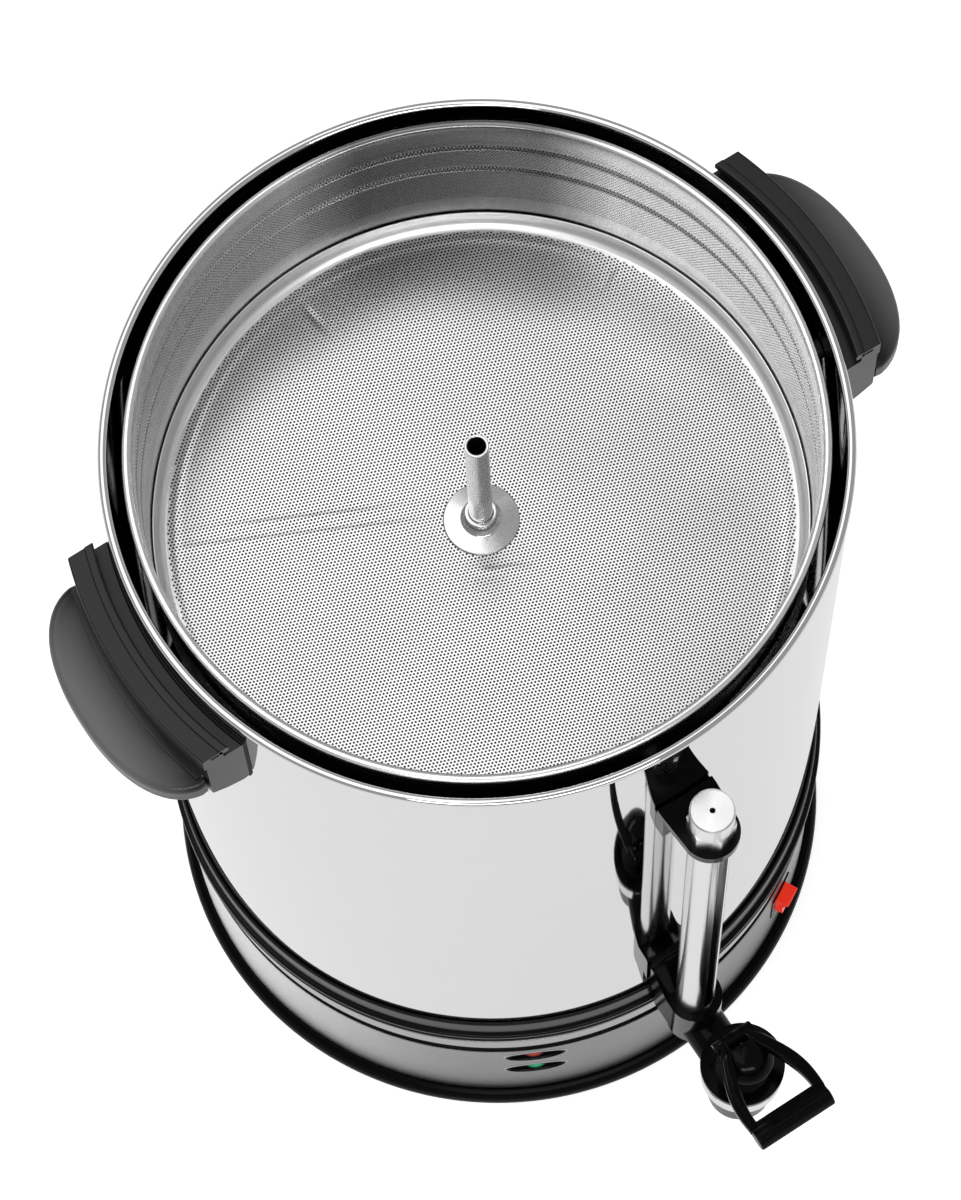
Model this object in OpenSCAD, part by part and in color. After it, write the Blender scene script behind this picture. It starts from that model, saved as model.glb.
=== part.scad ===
// Percolating coffee urn: mirror-finish tank on a ribbed base, hanging filter basket
// on a riser tube, side handles, lever tap with a sight gauge standing on it.
// Millimetres. +Z is up, the standing surface is z = 0 and the tank's axis is x = y = 0.
// The tap points to -Y and the handles to +X and -X.

/* [Tank] */
// Outer diameter of the tank wall
tank_d = 260; // [240:1:300]
// Thickness of the tank's sheet
tank_wall = 0.8; // [0.6:0.1:1.5]
// Height of tank wall that shows above the base collar
tank_show = 301; // [260:1:360]
// Diameter of the bead rolled round the rim
rim_bead_d = 3.4; // [2.4:0.2:4.4]
// How far the rim bead stands proud of the wall
rim_bead_proud = 0.4; // [0.2:0.1:1]
// Inner diameter of the sump pressed into the tank floor
sump_d = 70; // [66:1:80]
// Depth of the sump below the tank floor
sump_depth = 11; // [8:1:13]

/* [Base] */
// Height of the standing ring
foot_h = 9.5; // [7:0.5:14]
// How far the standing ring reaches past the tank wall
foot_proud = 7; // [6:0.5:12]
// Height of the metal skirt
skirt_h = 64.5; // [58:0.5:90]
// How far the skirt stands proud of the tank wall
skirt_proud = 2.3; // [2.3:0.1:3.5]
// Thickness of the skirt's sheet
skirt_wall = 0.8; // [0.6:0.1:1]
// Height of the shadow groove above the skirt
groove_h = 7; // [5:0.5:10]
// Height of the bright trim ring
trim_h = 10; // [8:0.5:14]
// Height of the ribbed collar
collar_h = 27; // [24:0.5:34]
// How far the collar's ribs stand proud of the tank wall
rib_proud = 3.8; // [2.8:0.1:4.5]
// Number of tie rods that clamp the base to the tank
rod_count = 3; // [3:1:4]
// Diameter of a tie rod
rod_d = 5; // [4:0.5:6]
// How far inside the tank wall the tie rods stand
rod_inset = 30; // [28:1:32]
// Number of anti-slip pads
pad_count = 4; // [3:1:6]
// Diameter of an anti-slip pad
pad_d = 14; // [10:1:16]

/* [Controls and electrics] */
// Angle of the two pilot lamps round the base, from the tap
lamp_angle = 26; // [22:1:40]
// Width of a lamp bezel
lamp_w = 26; // [22:1:30]
// Height of a lamp bezel
lamp_h = 13; // [11:1:15]
// Distance between the two lamps
lamp_pitch = 19.8; // [17:0.2:22]
// Angle of the power switch round the base, from the tap
switch_angle = 30; // [26:1:45]
// Width of the switch bezel
switch_w = 15; // [13:1:18]
// Height of the switch bezel
switch_h = 24; // [22:1:28]
// Tilt of the rocker each way from level
rocker_tilt = 9; // [6:1:11]
// Width of the power inlet's opening
inlet_w = 26; // [24:1:30]
// Height of the power inlet's opening
inlet_h = 18; // [16:1:22]

/* [Handles] */
// Length of a handle's wall along the tank
handle_len = 88; // [70:1:110]
// Height of a handle's wall
handle_wall_h = 36; // [32:1:46]
// Thickness of a handle's upright wall
handle_wall = 7.5; // [6:0.5:10]
// Gap between the tank and the upright wall, filled by the low pad
handle_gap = 7; // [6:0.5:10]
// Distance from the rim down to the top of a handle
handle_drop = 8; // [6:0.5:16]
// How far the grip reaches past the upright wall
grip_reach = 18; // [17:0.5:28]
// Thickness of the grip
grip_h = 13; // [12:0.5:16]
// Wall of the hollow grip
grip_wall = 3.2; // [2.4:0.2:3.6]

/* [Filter basket and riser] */
// Gap between the tank wall and the basket wall
basket_gap = 11; // [10:0.5:16]
// Thickness of the basket's sheet
basket_wall_t = 0.6; // [0.5:0.1:1]
// Depth from the basket's rim to its floor
basket_depth = 77; // [60:1:100]
// Diameter of the bead round the basket's rim
basket_bead_d = 3.4; // [2.6:0.2:4]
// Height of the floor pan's upstand inside the wall
pan_h = 7; // [6:0.5:10]
// Outer diameter of the riser tube
riser_d = 8.6; // [8:0.2:12]
// Wall of the riser tube
riser_wall = 1; // [0.8:0.1:1.4]
// Diameter of the flange that holds the basket's sleeve
flange_d = 28; // [24:1:34]
// Diameter of the bell at the riser's foot
bell_d = 58; // [50:1:60]

/* [Tap] */
// Distance from the tank wall to the gauge tube's axis
gauge_reach = 16.5; // [15.5:0.5:18]
// Distance from the tank wall to the valve's axis
valve_reach = 50; // [48:0.5:56]
// Height of the top of the gauge socket above the collar
socket_rise = 13; // [13:0.5:16]
// Width of the tap's wall block
block_w = 21.6; // [19:0.2:21.8]
// Radius of the tap's barrel
barrel_r = 9.2; // [8.4:0.2:10]
// Outer diameter of the valve chamber
chamber_d = 26; // [25:0.5:28]
// Diameter of the bonnet's flange
bonnet_d = 33.4; // [32:0.2:36]
// Bore of the outlet nozzle
outlet_d = 12; // [11:0.5:13]
// Length of the nozzle below the valve chamber
nozzle_len = 12; // [10:1:30]
// Width of the lever's bar
lever_w = 34; // [30:1:40]
// Distance from the lever's pivot to the outer edge of its bar
lever_len = 46; // [42:1:60]
// Diameter of the lever's pivot pin
pin_d = 3; // [2.5:0.5:4]
// Diameter of the valve stem
stem_d = 3.6; // [3:0.2:4]
// How far the lever swings down to open the valve
lever_swing = 18; // [12:1:18]

/* [Sight gauge] */
// Outer diameter of the gauge's bright shield tube
shield_d = 15.4; // [14:0.2:17]
// Wall of the shield tube
shield_wall = 0.8; // [0.6:0.1:1]
// Outer diameter of the sight glass
glass_d = 8; // [7:0.5:9]
// Wall of the sight glass
glass_wall = 1; // [0.8:0.1:1.4]
// Width of the reading slot in the shield
slot_w = 4.4; // [3:0.2:6]
// Angle of the reading slot from straight ahead
slot_turn = 10; // [0:1:30]
// Distance from the rim down to the top of the gauge bracket
bracket_drop = 56; // [50:1:70]
// Thickness of the gauge bracket's plate
bracket_t = 5; // [4:0.5:7]
// Size of the gauge cap's hexagon across its flats
cap_flats = 15.2; // [14:0.2:17]
// Height of the gauge cap
cap_h = 24; // [18:1:28]

/* [Hidden] */
$fn = 96;

fit = 0.1;             // gap between pieces that are pushed together
run = 0.05;            // radial gap of a running fit
rest_gap = 0.3;        // gap between pieces that part when something moves
through = 1;           // how far a cutting solid passes a face

// tank and base heights
tank_r = tank_d / 2;
tank_in = tank_r - tank_wall;
skirt_z = foot_h;
groove_z = skirt_z + skirt_h;
trim_z = groove_z + groove_h;
collar_z = trim_z + trim_h;
collar_top = collar_z + collar_h;
rim_z = collar_top + tank_show;
seat_rise = 9;
tank_seat_z = collar_z + seat_rise;
floor_top = collar_top - 1;
sump_r = sump_d / 2;
sump_top = floor_top - sump_depth;
bead_r = rim_bead_d / 2;

// base rings
foot_r = tank_r + foot_proud;
skirt_r = tank_r + skirt_proud;
skirt_in = skirt_r - skirt_wall;
groove_r = tank_r + 0.5;
spigot_r = skirt_in - fit;
trim_t = skirt_r - groove_r - 0.2;
sleeve_r = tank_r - 3.5;
plate_z = 4;
plate_t = 1.2;
ledge_w = 11;
rod_circle_r = tank_r - rod_inset;
pad_circle_r = rod_circle_r - 20;
plate_screw_r = spigot_r - 9;
plate_r = spigot_r - 4;
rod_turn = 30;
foot_in = skirt_in - 2;
ledge_top = plate_z + plate_t + 3;

// electrics
skirt_mid = skirt_z + skirt_h / 2;
lamp_z = groove_z - 9.5;
bezel_proud = 0.6;
bezel_deep = 14;
bezel_wall = 1.5;
switch_z = skirt_z + skirt_h * 0.63;
switch_deep = 20;
switch_wall = 1.5;
paddle_t = 6;
pivot_d = 3;
rocker_axis_r = skirt_r - 1;
inlet_deep = 18;
inlet_wall = 2;
inlet_z = skirt_mid;
pin_step = 8;
pin_y = skirt_r - inlet_deep - 6;
pin_len = 18;
element_r = sump_r + 39;
element_tube_r = 4.2;
element_turn = 10;
element_end_r = 3;
element_low = floor_top - tank_wall - 26;
fitting_r = sump_r + 17;
thermostat_turn = 200;
thermostat_h = 14;
fuse_turn = 320;
strip_x = 54;
strip_y = 52;
strip_w = 20;
strip_h = 16;
strip_z = plate_z + plate_t + fit;
strip_step = 10;
strip_hole_z = 5;
wire_r = 1.3;
wire_gap = 1.5;        // gap between a lead's end and the piece it serves

// handles
handle_back = tank_r + 1;
gasket_in = tank_r + 0.05;
handle_in = tank_r + handle_gap + 1;
handle_out = handle_in + handle_wall;
handle_top = rim_z - handle_drop;
pad_top = handle_top - 6;
handle_low = handle_top - handle_wall_h;
grip_top = handle_top - 22;
grip_out = handle_out + grip_reach;
grip_mid = handle_in;
screw_angle = 12;
screw_z = pad_top - 16;
screw_d = 4;

// basket and riser
basket_r = tank_r - basket_gap;
basket_in = basket_r - basket_wall_t;
basket_floor_z = rim_z - basket_depth;
pan_r = basket_in - fit;
pan_t = 0.6;
riser_r = riser_d / 2;
riser_top = rim_z - 4;
sleeve_in = riser_r + fit;
bell_r = bell_d / 2;
bell_z = sump_top + rest_gap;
bell_h = 9;
bell_neck = 11;
bell_top = 20;
stop_t = 2;
band_proud = 0.9;
band_z = [rim_z - 15, rim_z - 32];
stop_z = basket_floor_z - pan_t - 1.2 - rest_gap - stop_t;

// tap
gauge_y = -(tank_r + gauge_reach);
valve_y = -(tank_r + valve_reach);
socket_top = collar_top + socket_rise;
port_z = collar_top + 7.5;
port_r = 3;
shank_r = 6;
seal_t = 1.5;
seal_ring_r = 7.5;
barrel_z = socket_top - 24;
chamber_r = chamber_d / 2;
chamber_low = barrel_z - 17;
seat_z = chamber_low + 8;
neck_z = barrel_z + 10;
neck_h = 8;
neck_r = chamber_r - 1;
valve_bore_r = neck_r - 3;
seat_r = 4.5;
disc_bore_r = 8;
outlet_r = outlet_d / 2;
bonnet_r = bonnet_d / 2;
nut_h = 11;
bonnet_z = neck_z + nut_h + fit;
bonnet_t = 3;
dome_r = 11.5;
dome_low_r = 5.2;
dome_h = 7.5;
dome_top = bonnet_z + bonnet_t + dome_h;
pivot_arm = 7;
pivot_y = valve_y + pivot_arm;
pivot_z = dome_top + 9.4;
stem_r = stem_d / 2;
head_r = 3;
web_drop = 1.5;
web_z = pivot_z - web_drop;
head_z = web_z - rest_gap - head_r;
spring_r = stem_r + 1.3;
spring_wire = 0.6;
spring_z = bonnet_z + bonnet_t + 1;
spring_turns = 4;
pocket_r = spring_r + 0.9;
collar_t = 1;
spring_top = head_z - 3.4;
disc_r = seat_r + 2.2;
disc_t = 3;
disc_top = seat_z - 0.2;
lever_t = 5;
plate_up = 4.6;
bar_w = 10;
lever_rise = 15.1;
lug_w = 8;
lug_r = 3.2;
cheek_w = 17.6;
hub_r = 9.6;
hub_in = 8;
hub_low = 4.5;

// sight gauge
bracket_top = rim_z - bracket_drop;
bracket_low = bracket_top - bracket_t;
shield_r = shield_d / 2;
glass_r = glass_d / 2;
socket_r = shield_r + 3.2;
shield_seat = socket_top - 2.5;
glass_seat = shield_seat - 10;
seal_r = glass_r + 1;
cap_r = 8;
hex_h = cap_h / 2;
plate_half = 11.4;
tip_r = 10.5;
wing_h = 17;
wing_t = 4.4;
screw_drop = 9;

// ---- helpers ----

// A tube of revolution between two radii
module ring(r_in, r_out, z, h) {
    translate([0, 0, z]) difference() {
        cylinder(r = r_out, h = h);
        translate([0, 0, -through]) cylinder(r = r_in, h = h + 2 * through);
    }
}

// A plain cylinder standing at height z
module post(r, z, h) {
    translate([0, 0, z]) cylinder(r = r, h = h);
}

// A cylinder along the radius at angle az, from radius a to radius b
module radial_rod(az, z, r, a, b) {
    rotate([0, 0, az]) translate([a, 0, z]) rotate([0, 90, 0]) cylinder(r = r, h = b - a);
}

// A cylinder along -Y, from y = -a to y = -b
module front_rod(z, r, a, b) {
    radial_rod(-90, z, r, a, b);
}

// A block on the radius at angle az: radii a to b, width w, heights z to z + h
module radial_block(az, a, b, w, z, h) {
    rotate([0, 0, az]) translate([a, -w / 2, z]) cube([b - a, w, h]);
}

// A stadium-shaped bar along the radius at angle az
module radial_slot(az, a, b, w, h, z) {
    rotate([0, 0, az]) translate([a, 0, z]) rotate([90, 0, 90]) linear_extrude(b - a) {
        square([w - h, h], center = true);
        for (side = [-1, 1]) translate([side * (w - h) / 2, 0]) circle(d = h);
    }
}

// The solid shell between two radii about the tank's axis
module tank_shell(r_in, r_out, z, h) {
    ring(r_in, r_out, z, h);
}

// A round tube swept along a list of points
module swept(points, r, sides) {
    last = len(points) - 1;
    function unit(v) = v / norm(v);
    function heading(i) = unit(points[min(i + 1, last)] - points[max(i - 1, 0)]);
    function across(t) = unit(cross(t, abs(t[2]) > 0.9 ? [1, 0, 0] : [0, 0, 1]));
    corners = [for (i = [0 : last], s = [0 : sides - 1])
        let (t = heading(i), u = across(t), v = cross(u, t), a = 360 * s / sides)
        points[i] + r * (cos(a) * u + sin(a) * v)];
    walls = [for (i = [0 : last - 1], s = [0 : sides - 1])
        let (n = (s + 1) % sides)
        [i * sides + s, i * sides + n, (i + 1) * sides + n, (i + 1) * sides + s]];
    start = [for (s = [sides - 1 : -1 : 0]) s];
    end = [for (s = [0 : sides - 1]) last * sides + s];
    polyhedron(points = corners, faces = concat([start], walls, [end]), convexity = 6);
}

// ---- tank ----

module tank() color([0.86, 0.87, 0.88]) difference() {
    union() {
        ring(tank_in, tank_r, tank_seat_z, rim_z - bead_r - tank_seat_z);
        rotate_extrude() translate([tank_r + rim_bead_proud - bead_r, rim_z - bead_r]) circle(r = bead_r);
        ring(sump_r, tank_in + fit, floor_top - tank_wall, tank_wall);
        ring(sump_r - tank_wall, sump_r, sump_top - tank_wall, sump_depth + tank_wall);
        post(sump_r - tank_wall / 2, sump_top - tank_wall, tank_wall);
    }
    front_rod(port_z, shank_r + fit, tank_r - 10, tank_r + 10);
    front_rod(bracket_low - screw_drop, 2.1, tank_r - 10, tank_r + 10);
    for (side = [0, 180], a = [-screw_angle, screw_angle])
        radial_rod(side + a, screw_z, screw_d / 2 + fit, tank_r - 10, tank_r + 10);
}

// ---- base ----

module base_collar() color([0.05, 0.05, 0.055]) rotate_extrude() polygon([
    [sleeve_r, tank_seat_z], [tank_r + fit, tank_seat_z], [tank_r + fit, collar_top - 0.5],
    [tank_r + 0.8, collar_top], [tank_r + 1.6, collar_top - 1.2], [tank_r + 2.2, collar_top - 11],
    [tank_r + 1.5, collar_top - 12], [tank_r + rib_proud - 0.5, collar_top - 12.6],
    [tank_r + rib_proud, collar_top - 13.4], [tank_r + rib_proud, collar_top - 14.8],
    [tank_r + rib_proud - 0.5, collar_top - 15.6], [tank_r + 1.7, collar_top - 16.4],
    [tank_r + rib_proud - 0.5, collar_top - 17.2], [tank_r + rib_proud, collar_top - 18],
    [tank_r + rib_proud, collar_top - 19.4], [tank_r + rib_proud - 0.5, collar_top - 20.2],
    [tank_r + 1.6, collar_top - 21], [tank_r + 1.6, collar_z], [groove_r, collar_z],
    [groove_r, groove_z], [spigot_r, groove_z], [spigot_r, groove_z - 3], [sleeve_r, groove_z - 3]]);

module trim_ring() color([0.9, 0.9, 0.91]) rotate_extrude() polygon([
    [groove_r + fit, trim_z], [groove_r + trim_t - 0.4, trim_z], [groove_r + trim_t, trim_z + 0.4],
    [groove_r + trim_t, collar_z - 0.6], [groove_r + trim_t - 0.4, collar_z - fit],
    [groove_r + fit, collar_z - fit]]);

module base_skirt() color([0.5, 0.5, 0.51]) difference() {
    ring(skirt_in, skirt_r, foot_h - 4, skirt_h + 4 - fit);
    for (z = [lamp_z, lamp_z - lamp_pitch])
        radial_slot(-90 - lamp_angle, skirt_r - 15, skirt_r + 5, lamp_w - 3.6, lamp_h - 3.6, z);
    radial_block(-90 + switch_angle, skirt_r - 15, skirt_r + 5, switch_w - 2.5,
        switch_z - switch_h / 2 + 1.25, switch_h - 2.5);
    radial_block(90, skirt_r - 15, skirt_r + 5, inlet_w + 2 * inlet_wall + 2 * fit,
        inlet_z - inlet_h / 2 - inlet_wall - fit, inlet_h + 2 * inlet_wall + 2 * fit);
}

module foot_ring() color([0.06, 0.06, 0.065]) difference() {
    rotate_extrude() polygon([
        [plate_r + 0.5, 0], [foot_r - 1.2, 0], [foot_r - 0.3, 1], [foot_r, 2.2], [foot_r, 4.5],
        [foot_r - 0.6, 6.6], [foot_r - 2, foot_h - 1], [skirt_r + 0.8, foot_h], [skirt_r + fit, foot_h],
        [skirt_r + fit, foot_h - 4 - fit], [skirt_in - fit, foot_h - 4 - fit], [skirt_in - fit, foot_h + 6],
        [foot_in, foot_h + 6], [foot_in, ledge_top], [plate_r - ledge_w, ledge_top],
        [plate_r - ledge_w, plate_z + plate_t], [plate_r + 0.5, plate_z + plate_t]]);
    for (i = [0 : 3]) rotate([0, 0, 45 + 90 * i]) translate([plate_screw_r, 0, plate_z])
        cylinder(d = 3, h = 5);
    radial_block(90, skirt_r - 22, skirt_r - 1.5, inlet_w + 8, plate_z + plate_t + 1, 30);
}

// The cutter for one round hole in the bottom plate
module plate_hole(az, r, d) {
    rotate([0, 0, az]) translate([r, 0, plate_z - through]) cylinder(d = d, h = plate_t + 2 * through);
}

module base_plate() color([0.7, 0.7, 0.72]) difference() {
    post(plate_r, plate_z, plate_t);
    for (i = [0 : 3]) plate_hole(45 + 90 * i, plate_screw_r, 3.4);
    for (i = [0 : rod_count - 1]) plate_hole(rod_turn + 360 / rod_count * i, rod_circle_r, rod_d + 0.4);
    for (i = [0 : pad_count - 1]) plate_hole(45 + 360 / pad_count * i, pad_circle_r, 6.2);
    for (x = [-36 : 12 : 36]) translate([x - 2, -40, plate_z - through]) cube([4, 34, plate_t + 2 * through]);
}

module anti_slip_pads() color([0.1, 0.1, 0.1]) for (i = [0 : pad_count - 1])
    rotate([0, 0, 45 + 360 / pad_count * i]) translate([pad_circle_r, 0, 0]) {
        post(pad_d / 2, 0, plate_z - fit);
        post(3, plate_z - fit, plate_t + 2 * fit);
        post(4.2, plate_z + plate_t + fit, 1.6);
    }

module tie_rods() color([0.75, 0.75, 0.77]) for (i = [0 : rod_count - 1])
    rotate([0, 0, rod_turn + 360 / rod_count * i]) translate([rod_circle_r, 0, 0]) {
        post(rod_d / 2, plate_z - 3.4, floor_top - tank_wall - plate_z + 3.4 - fit);
        post(rod_d, floor_top - tank_wall - 3 - fit, 3);
    }

module tie_rod_nuts() color([0.8, 0.8, 0.82]) for (i = [0 : rod_count - 1])
    rotate([0, 0, rod_turn + 360 / rod_count * i]) translate([rod_circle_r, 0, plate_z - 3.2]) difference() {
        cylinder(d = 9.2, h = 3.1, $fn = 6);
        translate([0, 0, -through]) cylinder(r = rod_d / 2 + run, h = 6);
    }

module base_screws() color([0.78, 0.78, 0.8]) for (i = [0 : 3])
    rotate([0, 0, 45 + 90 * i]) translate([plate_screw_r, 0, 0]) {
        post(3, plate_z - 2.1, 2);
        post(1.4, plate_z - 0.2, 4.6);
    }

// ---- heaters and electrics ----

module heating_element() color([0.55, 0.56, 0.58]) {
    translate([0, 0, floor_top - tank_wall - element_tube_r - 0.8]) rotate_extrude()
        translate([element_r, 0]) circle(r = element_tube_r);
    for (a = [-element_turn, element_turn]) rotate([0, 0, 90 + a]) translate([element_r, 0, 0])
        post(element_end_r, element_low, 19);
}

module pump_heater() color([0.68, 0.68, 0.7]) {
    post(24, sump_top - tank_wall - 7, 6.9);
    post(5, sump_top - tank_wall - 20, 13.1);
}

module thermostat() color([0.85, 0.83, 0.78]) rotate([0, 0, thermostat_turn]) translate([fitting_r, 0, 0]) {
    post(9, floor_top - tank_wall - 9, 8.9);
    post(6, floor_top - tank_wall - thermostat_h, 5.1);
}

module thermal_fuse() color([0.93, 0.92, 0.86]) rotate([0, 0, fuse_turn]) translate([fitting_r, 0, 0]) {
    translate([-8, -5, floor_top - tank_wall - 6.1]) cube([16, 10, 6]);
}

module terminal_block() color([0.9, 0.89, 0.84]) translate([-strip_x / 2, strip_y, strip_z]) difference() {
    cube([strip_x, strip_w, strip_h]);
    for (i = [-2 : 2]) translate([strip_x / 2 + strip_step * i, strip_w / 2, 0]) {
        translate([0, 0, strip_hole_z + 1]) cylinder(d = 5, h = strip_h);
        translate([0, -strip_w, strip_hole_z]) rotate([-90, 0, 0]) cylinder(d = 3.4, h = 2 * strip_w);
    }
}

// The point at angle az, radius r and height z
function round_at(az, r, z) = [r * cos(az), r * sin(az), z];
// The mouth of a terminal: side 0 is towards the tap, side 1 towards the power inlet
function terminal(i, side) = [strip_step * i, strip_y + 1 + side * (strip_w - 2), strip_z + strip_hole_z];
// A lead's bend points from a to b: straight out of its terminal, over the middle, and in to its last one
function lead(a, out, bend, back, b) =
    [a, a + [0, 6 * sign(out[1]), 0], a + out, (a + b) / 2 + bend, b + back, b];

pin_low = inlet_z - 2;
pin_high = inlet_z + 3;
switch_end_r = skirt_r - switch_deep - wire_gap;
lamp_end_r = skirt_r - bezel_deep - 6 - wire_gap;
element_end_z = element_low - 0.7;
thermostat_end_z = floor_top - tank_wall - thermostat_h - 0.9;
wire_routes = [
    lead(terminal(-2, 1), [1, 13, 1.7], [0, 0, -3], [-1, -10, -8], [-pin_step, pin_y - wire_gap, pin_low]),
    lead(terminal(-1, 1), [2, 11, 1.7], [0, 0, -3], [-1, -10, -9], [0, pin_y - wire_gap, pin_high]),
    lead(terminal(0, 1), [4, 13, -0.3], [2, 0, -4], [1, -10, -8], [pin_step, pin_y - wire_gap, pin_low]),
    lead(terminal(-2, 0), [-4, -17, 1.7], [-18, 13, -13.5], [2, 16, -12],
        round_at(-90 - lamp_angle, lamp_end_r, lamp_z - lamp_pitch)),
    lead(terminal(1, 0), [6, -19, 1.7], [13.3, 11.4, -10.2], [2, 16, -12],
        round_at(-90 + switch_angle, switch_end_r, switch_z - 8)),
    lead(terminal(2, 0), [8, -23, 5.7], [16.3, 13.4, -2.2], [4, 16, -8],
        round_at(-90 + switch_angle, switch_end_r, switch_z + 4)),
    lead(terminal(0, 0), [-6, -17, 13.7], [-5.6, -17.6, 3.8], [3.9, 3.8, -8],
        round_at(thermostat_turn, fitting_r, thermostat_end_z)),
    lead(terminal(2, 1), [6, 9, 9.7], [5.6, 8.1, 2.1], [1.2, 2.1, -9.5],
        round_at(90 - element_turn, element_r, element_end_z)),
    lead(terminal(1, 1), [4, 11, 5.7], [1.4, 14.1, 0.1], [1.9, 4.1, -9.5],
        round_at(90 + element_turn, element_r, element_end_z))];

// Points of a smooth curve through a route, by Catmull-Rom pieces
function smooth(route, steps) = let (n = len(route) - 1) concat(
    [for (i = [0 : n - 1], s = [0 : steps - 1])
        let (a = route[max(i - 1, 0)], b = route[i], c = route[i + 1], d = route[min(i + 2, n)])
        let (t = s / steps)
        b + 0.5 * t * (c - a + t * (2 * a - 5 * b + 4 * c - d + t * (3 * b - 3 * c + d - a)))],
    [route[n]]);

module wiring() color([0.75, 0.2, 0.15]) for (route = wire_routes) swept(smooth(route, 4), wire_r, 8);

module lamp_bezels() color([0.04, 0.04, 0.045]) for (z = [lamp_z, lamp_z - lamp_pitch]) difference() {
    union() {
        intersection() {
            radial_slot(-90 - lamp_angle, skirt_r - 10, skirt_r + 5, lamp_w, lamp_h, z);
            tank_shell(skirt_r + 0.05, skirt_r + bezel_proud, z - lamp_h, 2 * lamp_h);
        }
        radial_slot(-90 - lamp_angle, skirt_r - bezel_deep, skirt_r + 0.5, lamp_w - 4, lamp_h - 4, z);
    }
    radial_slot(-90 - lamp_angle, skirt_r - bezel_deep + 2, skirt_r + 5, lamp_w - 4 - 2 * bezel_wall,
        lamp_h - 4 - 2 * bezel_wall + 0.6, z);
    radial_rod(-90 - lamp_angle, z, 2.4, skirt_r - bezel_deep - through, skirt_r);
}

module lamp_lens(z) {
    radial_rod(-90 - lamp_angle, z, 2.3, skirt_r - bezel_deep - 6, skirt_r - bezel_deep + 5);
    rotate([0, 0, -90 - lamp_angle]) translate([skirt_r - bezel_deep + 5, 0, z]) rotate([0, 90, 0])
        rotate_extrude() intersection() {
            circle(r = 2.3);
            square(3);
        }
}

module red_lamp() color([0.8, 0.1, 0.08]) lamp_lens(lamp_z);

module green_lamp() color([0.05, 0.5, 0.3]) lamp_lens(lamp_z - lamp_pitch);

module switch_housing() color([0.07, 0.07, 0.075]) difference() {
    union() {
        intersection() {
            radial_block(-90 + switch_angle, skirt_r - 10, skirt_r + 5, switch_w,
                switch_z - switch_h / 2, switch_h);
            tank_shell(skirt_r + 0.05, skirt_r + bezel_proud, switch_z - switch_h, 2 * switch_h);
        }
        radial_block(-90 + switch_angle, skirt_r - switch_deep, skirt_r + 0.5, switch_w - 2.7,
            switch_z - switch_h / 2 + 1.35, switch_h - 2.7);
    }
    radial_block(-90 + switch_angle, skirt_r - 12, skirt_r + 8, switch_w - 2.7 - 2 * switch_wall,
        switch_z - switch_h / 2 + 1.35 + switch_wall, switch_h - 2.7 - 2 * switch_wall);
    at_rocker() translate([0, switch_w, 0]) rotate([90, 0, 0])
        cylinder(r = pivot_d / 2 + run, h = 2 * switch_w);
}

// Places children at the rocker's pivot, with +X pointing out of the base
module at_rocker() {
    rotate([0, 0, -90 + switch_angle]) translate([rocker_axis_r, 0, switch_z]) children();
}

module rocker() color([0.85, 0.1, 0.06]) at_rocker() {
    paddle_w = switch_w - 2.7 - 2 * switch_wall - 0.6;
    paddle_h = switch_h - 2.7 - 2 * switch_wall - 2.4;
    translate([0, paddle_w / 2, 0]) rotate([90, 0, 0]) rotate([0, 0, -rocker_tilt])
        linear_extrude(paddle_w) polygon([
            [-4, -3], [-4, 3], [0, paddle_h / 2], [paddle_t - 0.6, paddle_h / 2],
            [paddle_t, paddle_h / 2 - 0.8], [paddle_t - 1.5, 0], [paddle_t, -paddle_h / 2 + 0.8],
            [paddle_t - 0.6, -paddle_h / 2], [0, -paddle_h / 2]]);
    translate([0, switch_w / 2 - 1.5, 0]) rotate([90, 0, 0]) cylinder(r = pivot_d / 2, h = switch_w - 3);
}

module power_inlet() color([0.06, 0.06, 0.065]) difference() {
    union() {
        radial_block(90, skirt_r - inlet_deep, skirt_r + 1, inlet_w + 2 * inlet_wall,
            inlet_z - inlet_h / 2 - inlet_wall, inlet_h + 2 * inlet_wall);
        intersection() {
            radial_block(90, skirt_r - 5, skirt_r + 5, inlet_w + 14, inlet_z - inlet_h / 2 - 5, inlet_h + 10);
            tank_shell(skirt_r + 0.05, skirt_r + 2.4, inlet_z - inlet_h, 2 * inlet_h);
        }
    }
    radial_block(90, skirt_r - inlet_deep + 2.5, skirt_r + 6, inlet_w, inlet_z - inlet_h / 2, inlet_h);
    for (i = [-1 : 1]) translate([pin_step * i, skirt_r - inlet_deep - through, i == 0 ? pin_high : pin_low])
        rotate([-90, 0, 0]) cylinder(r = 1.6, h = 4);
}

module inlet_pins() color([0.85, 0.78, 0.5]) for (i = [-1 : 1])
    translate([pin_step * i, pin_y, i == 0 ? pin_high : pin_low]) rotate([-90, 0, 0])
        cylinder(r = 1.5, h = pin_len);

// ---- handles ----

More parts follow.
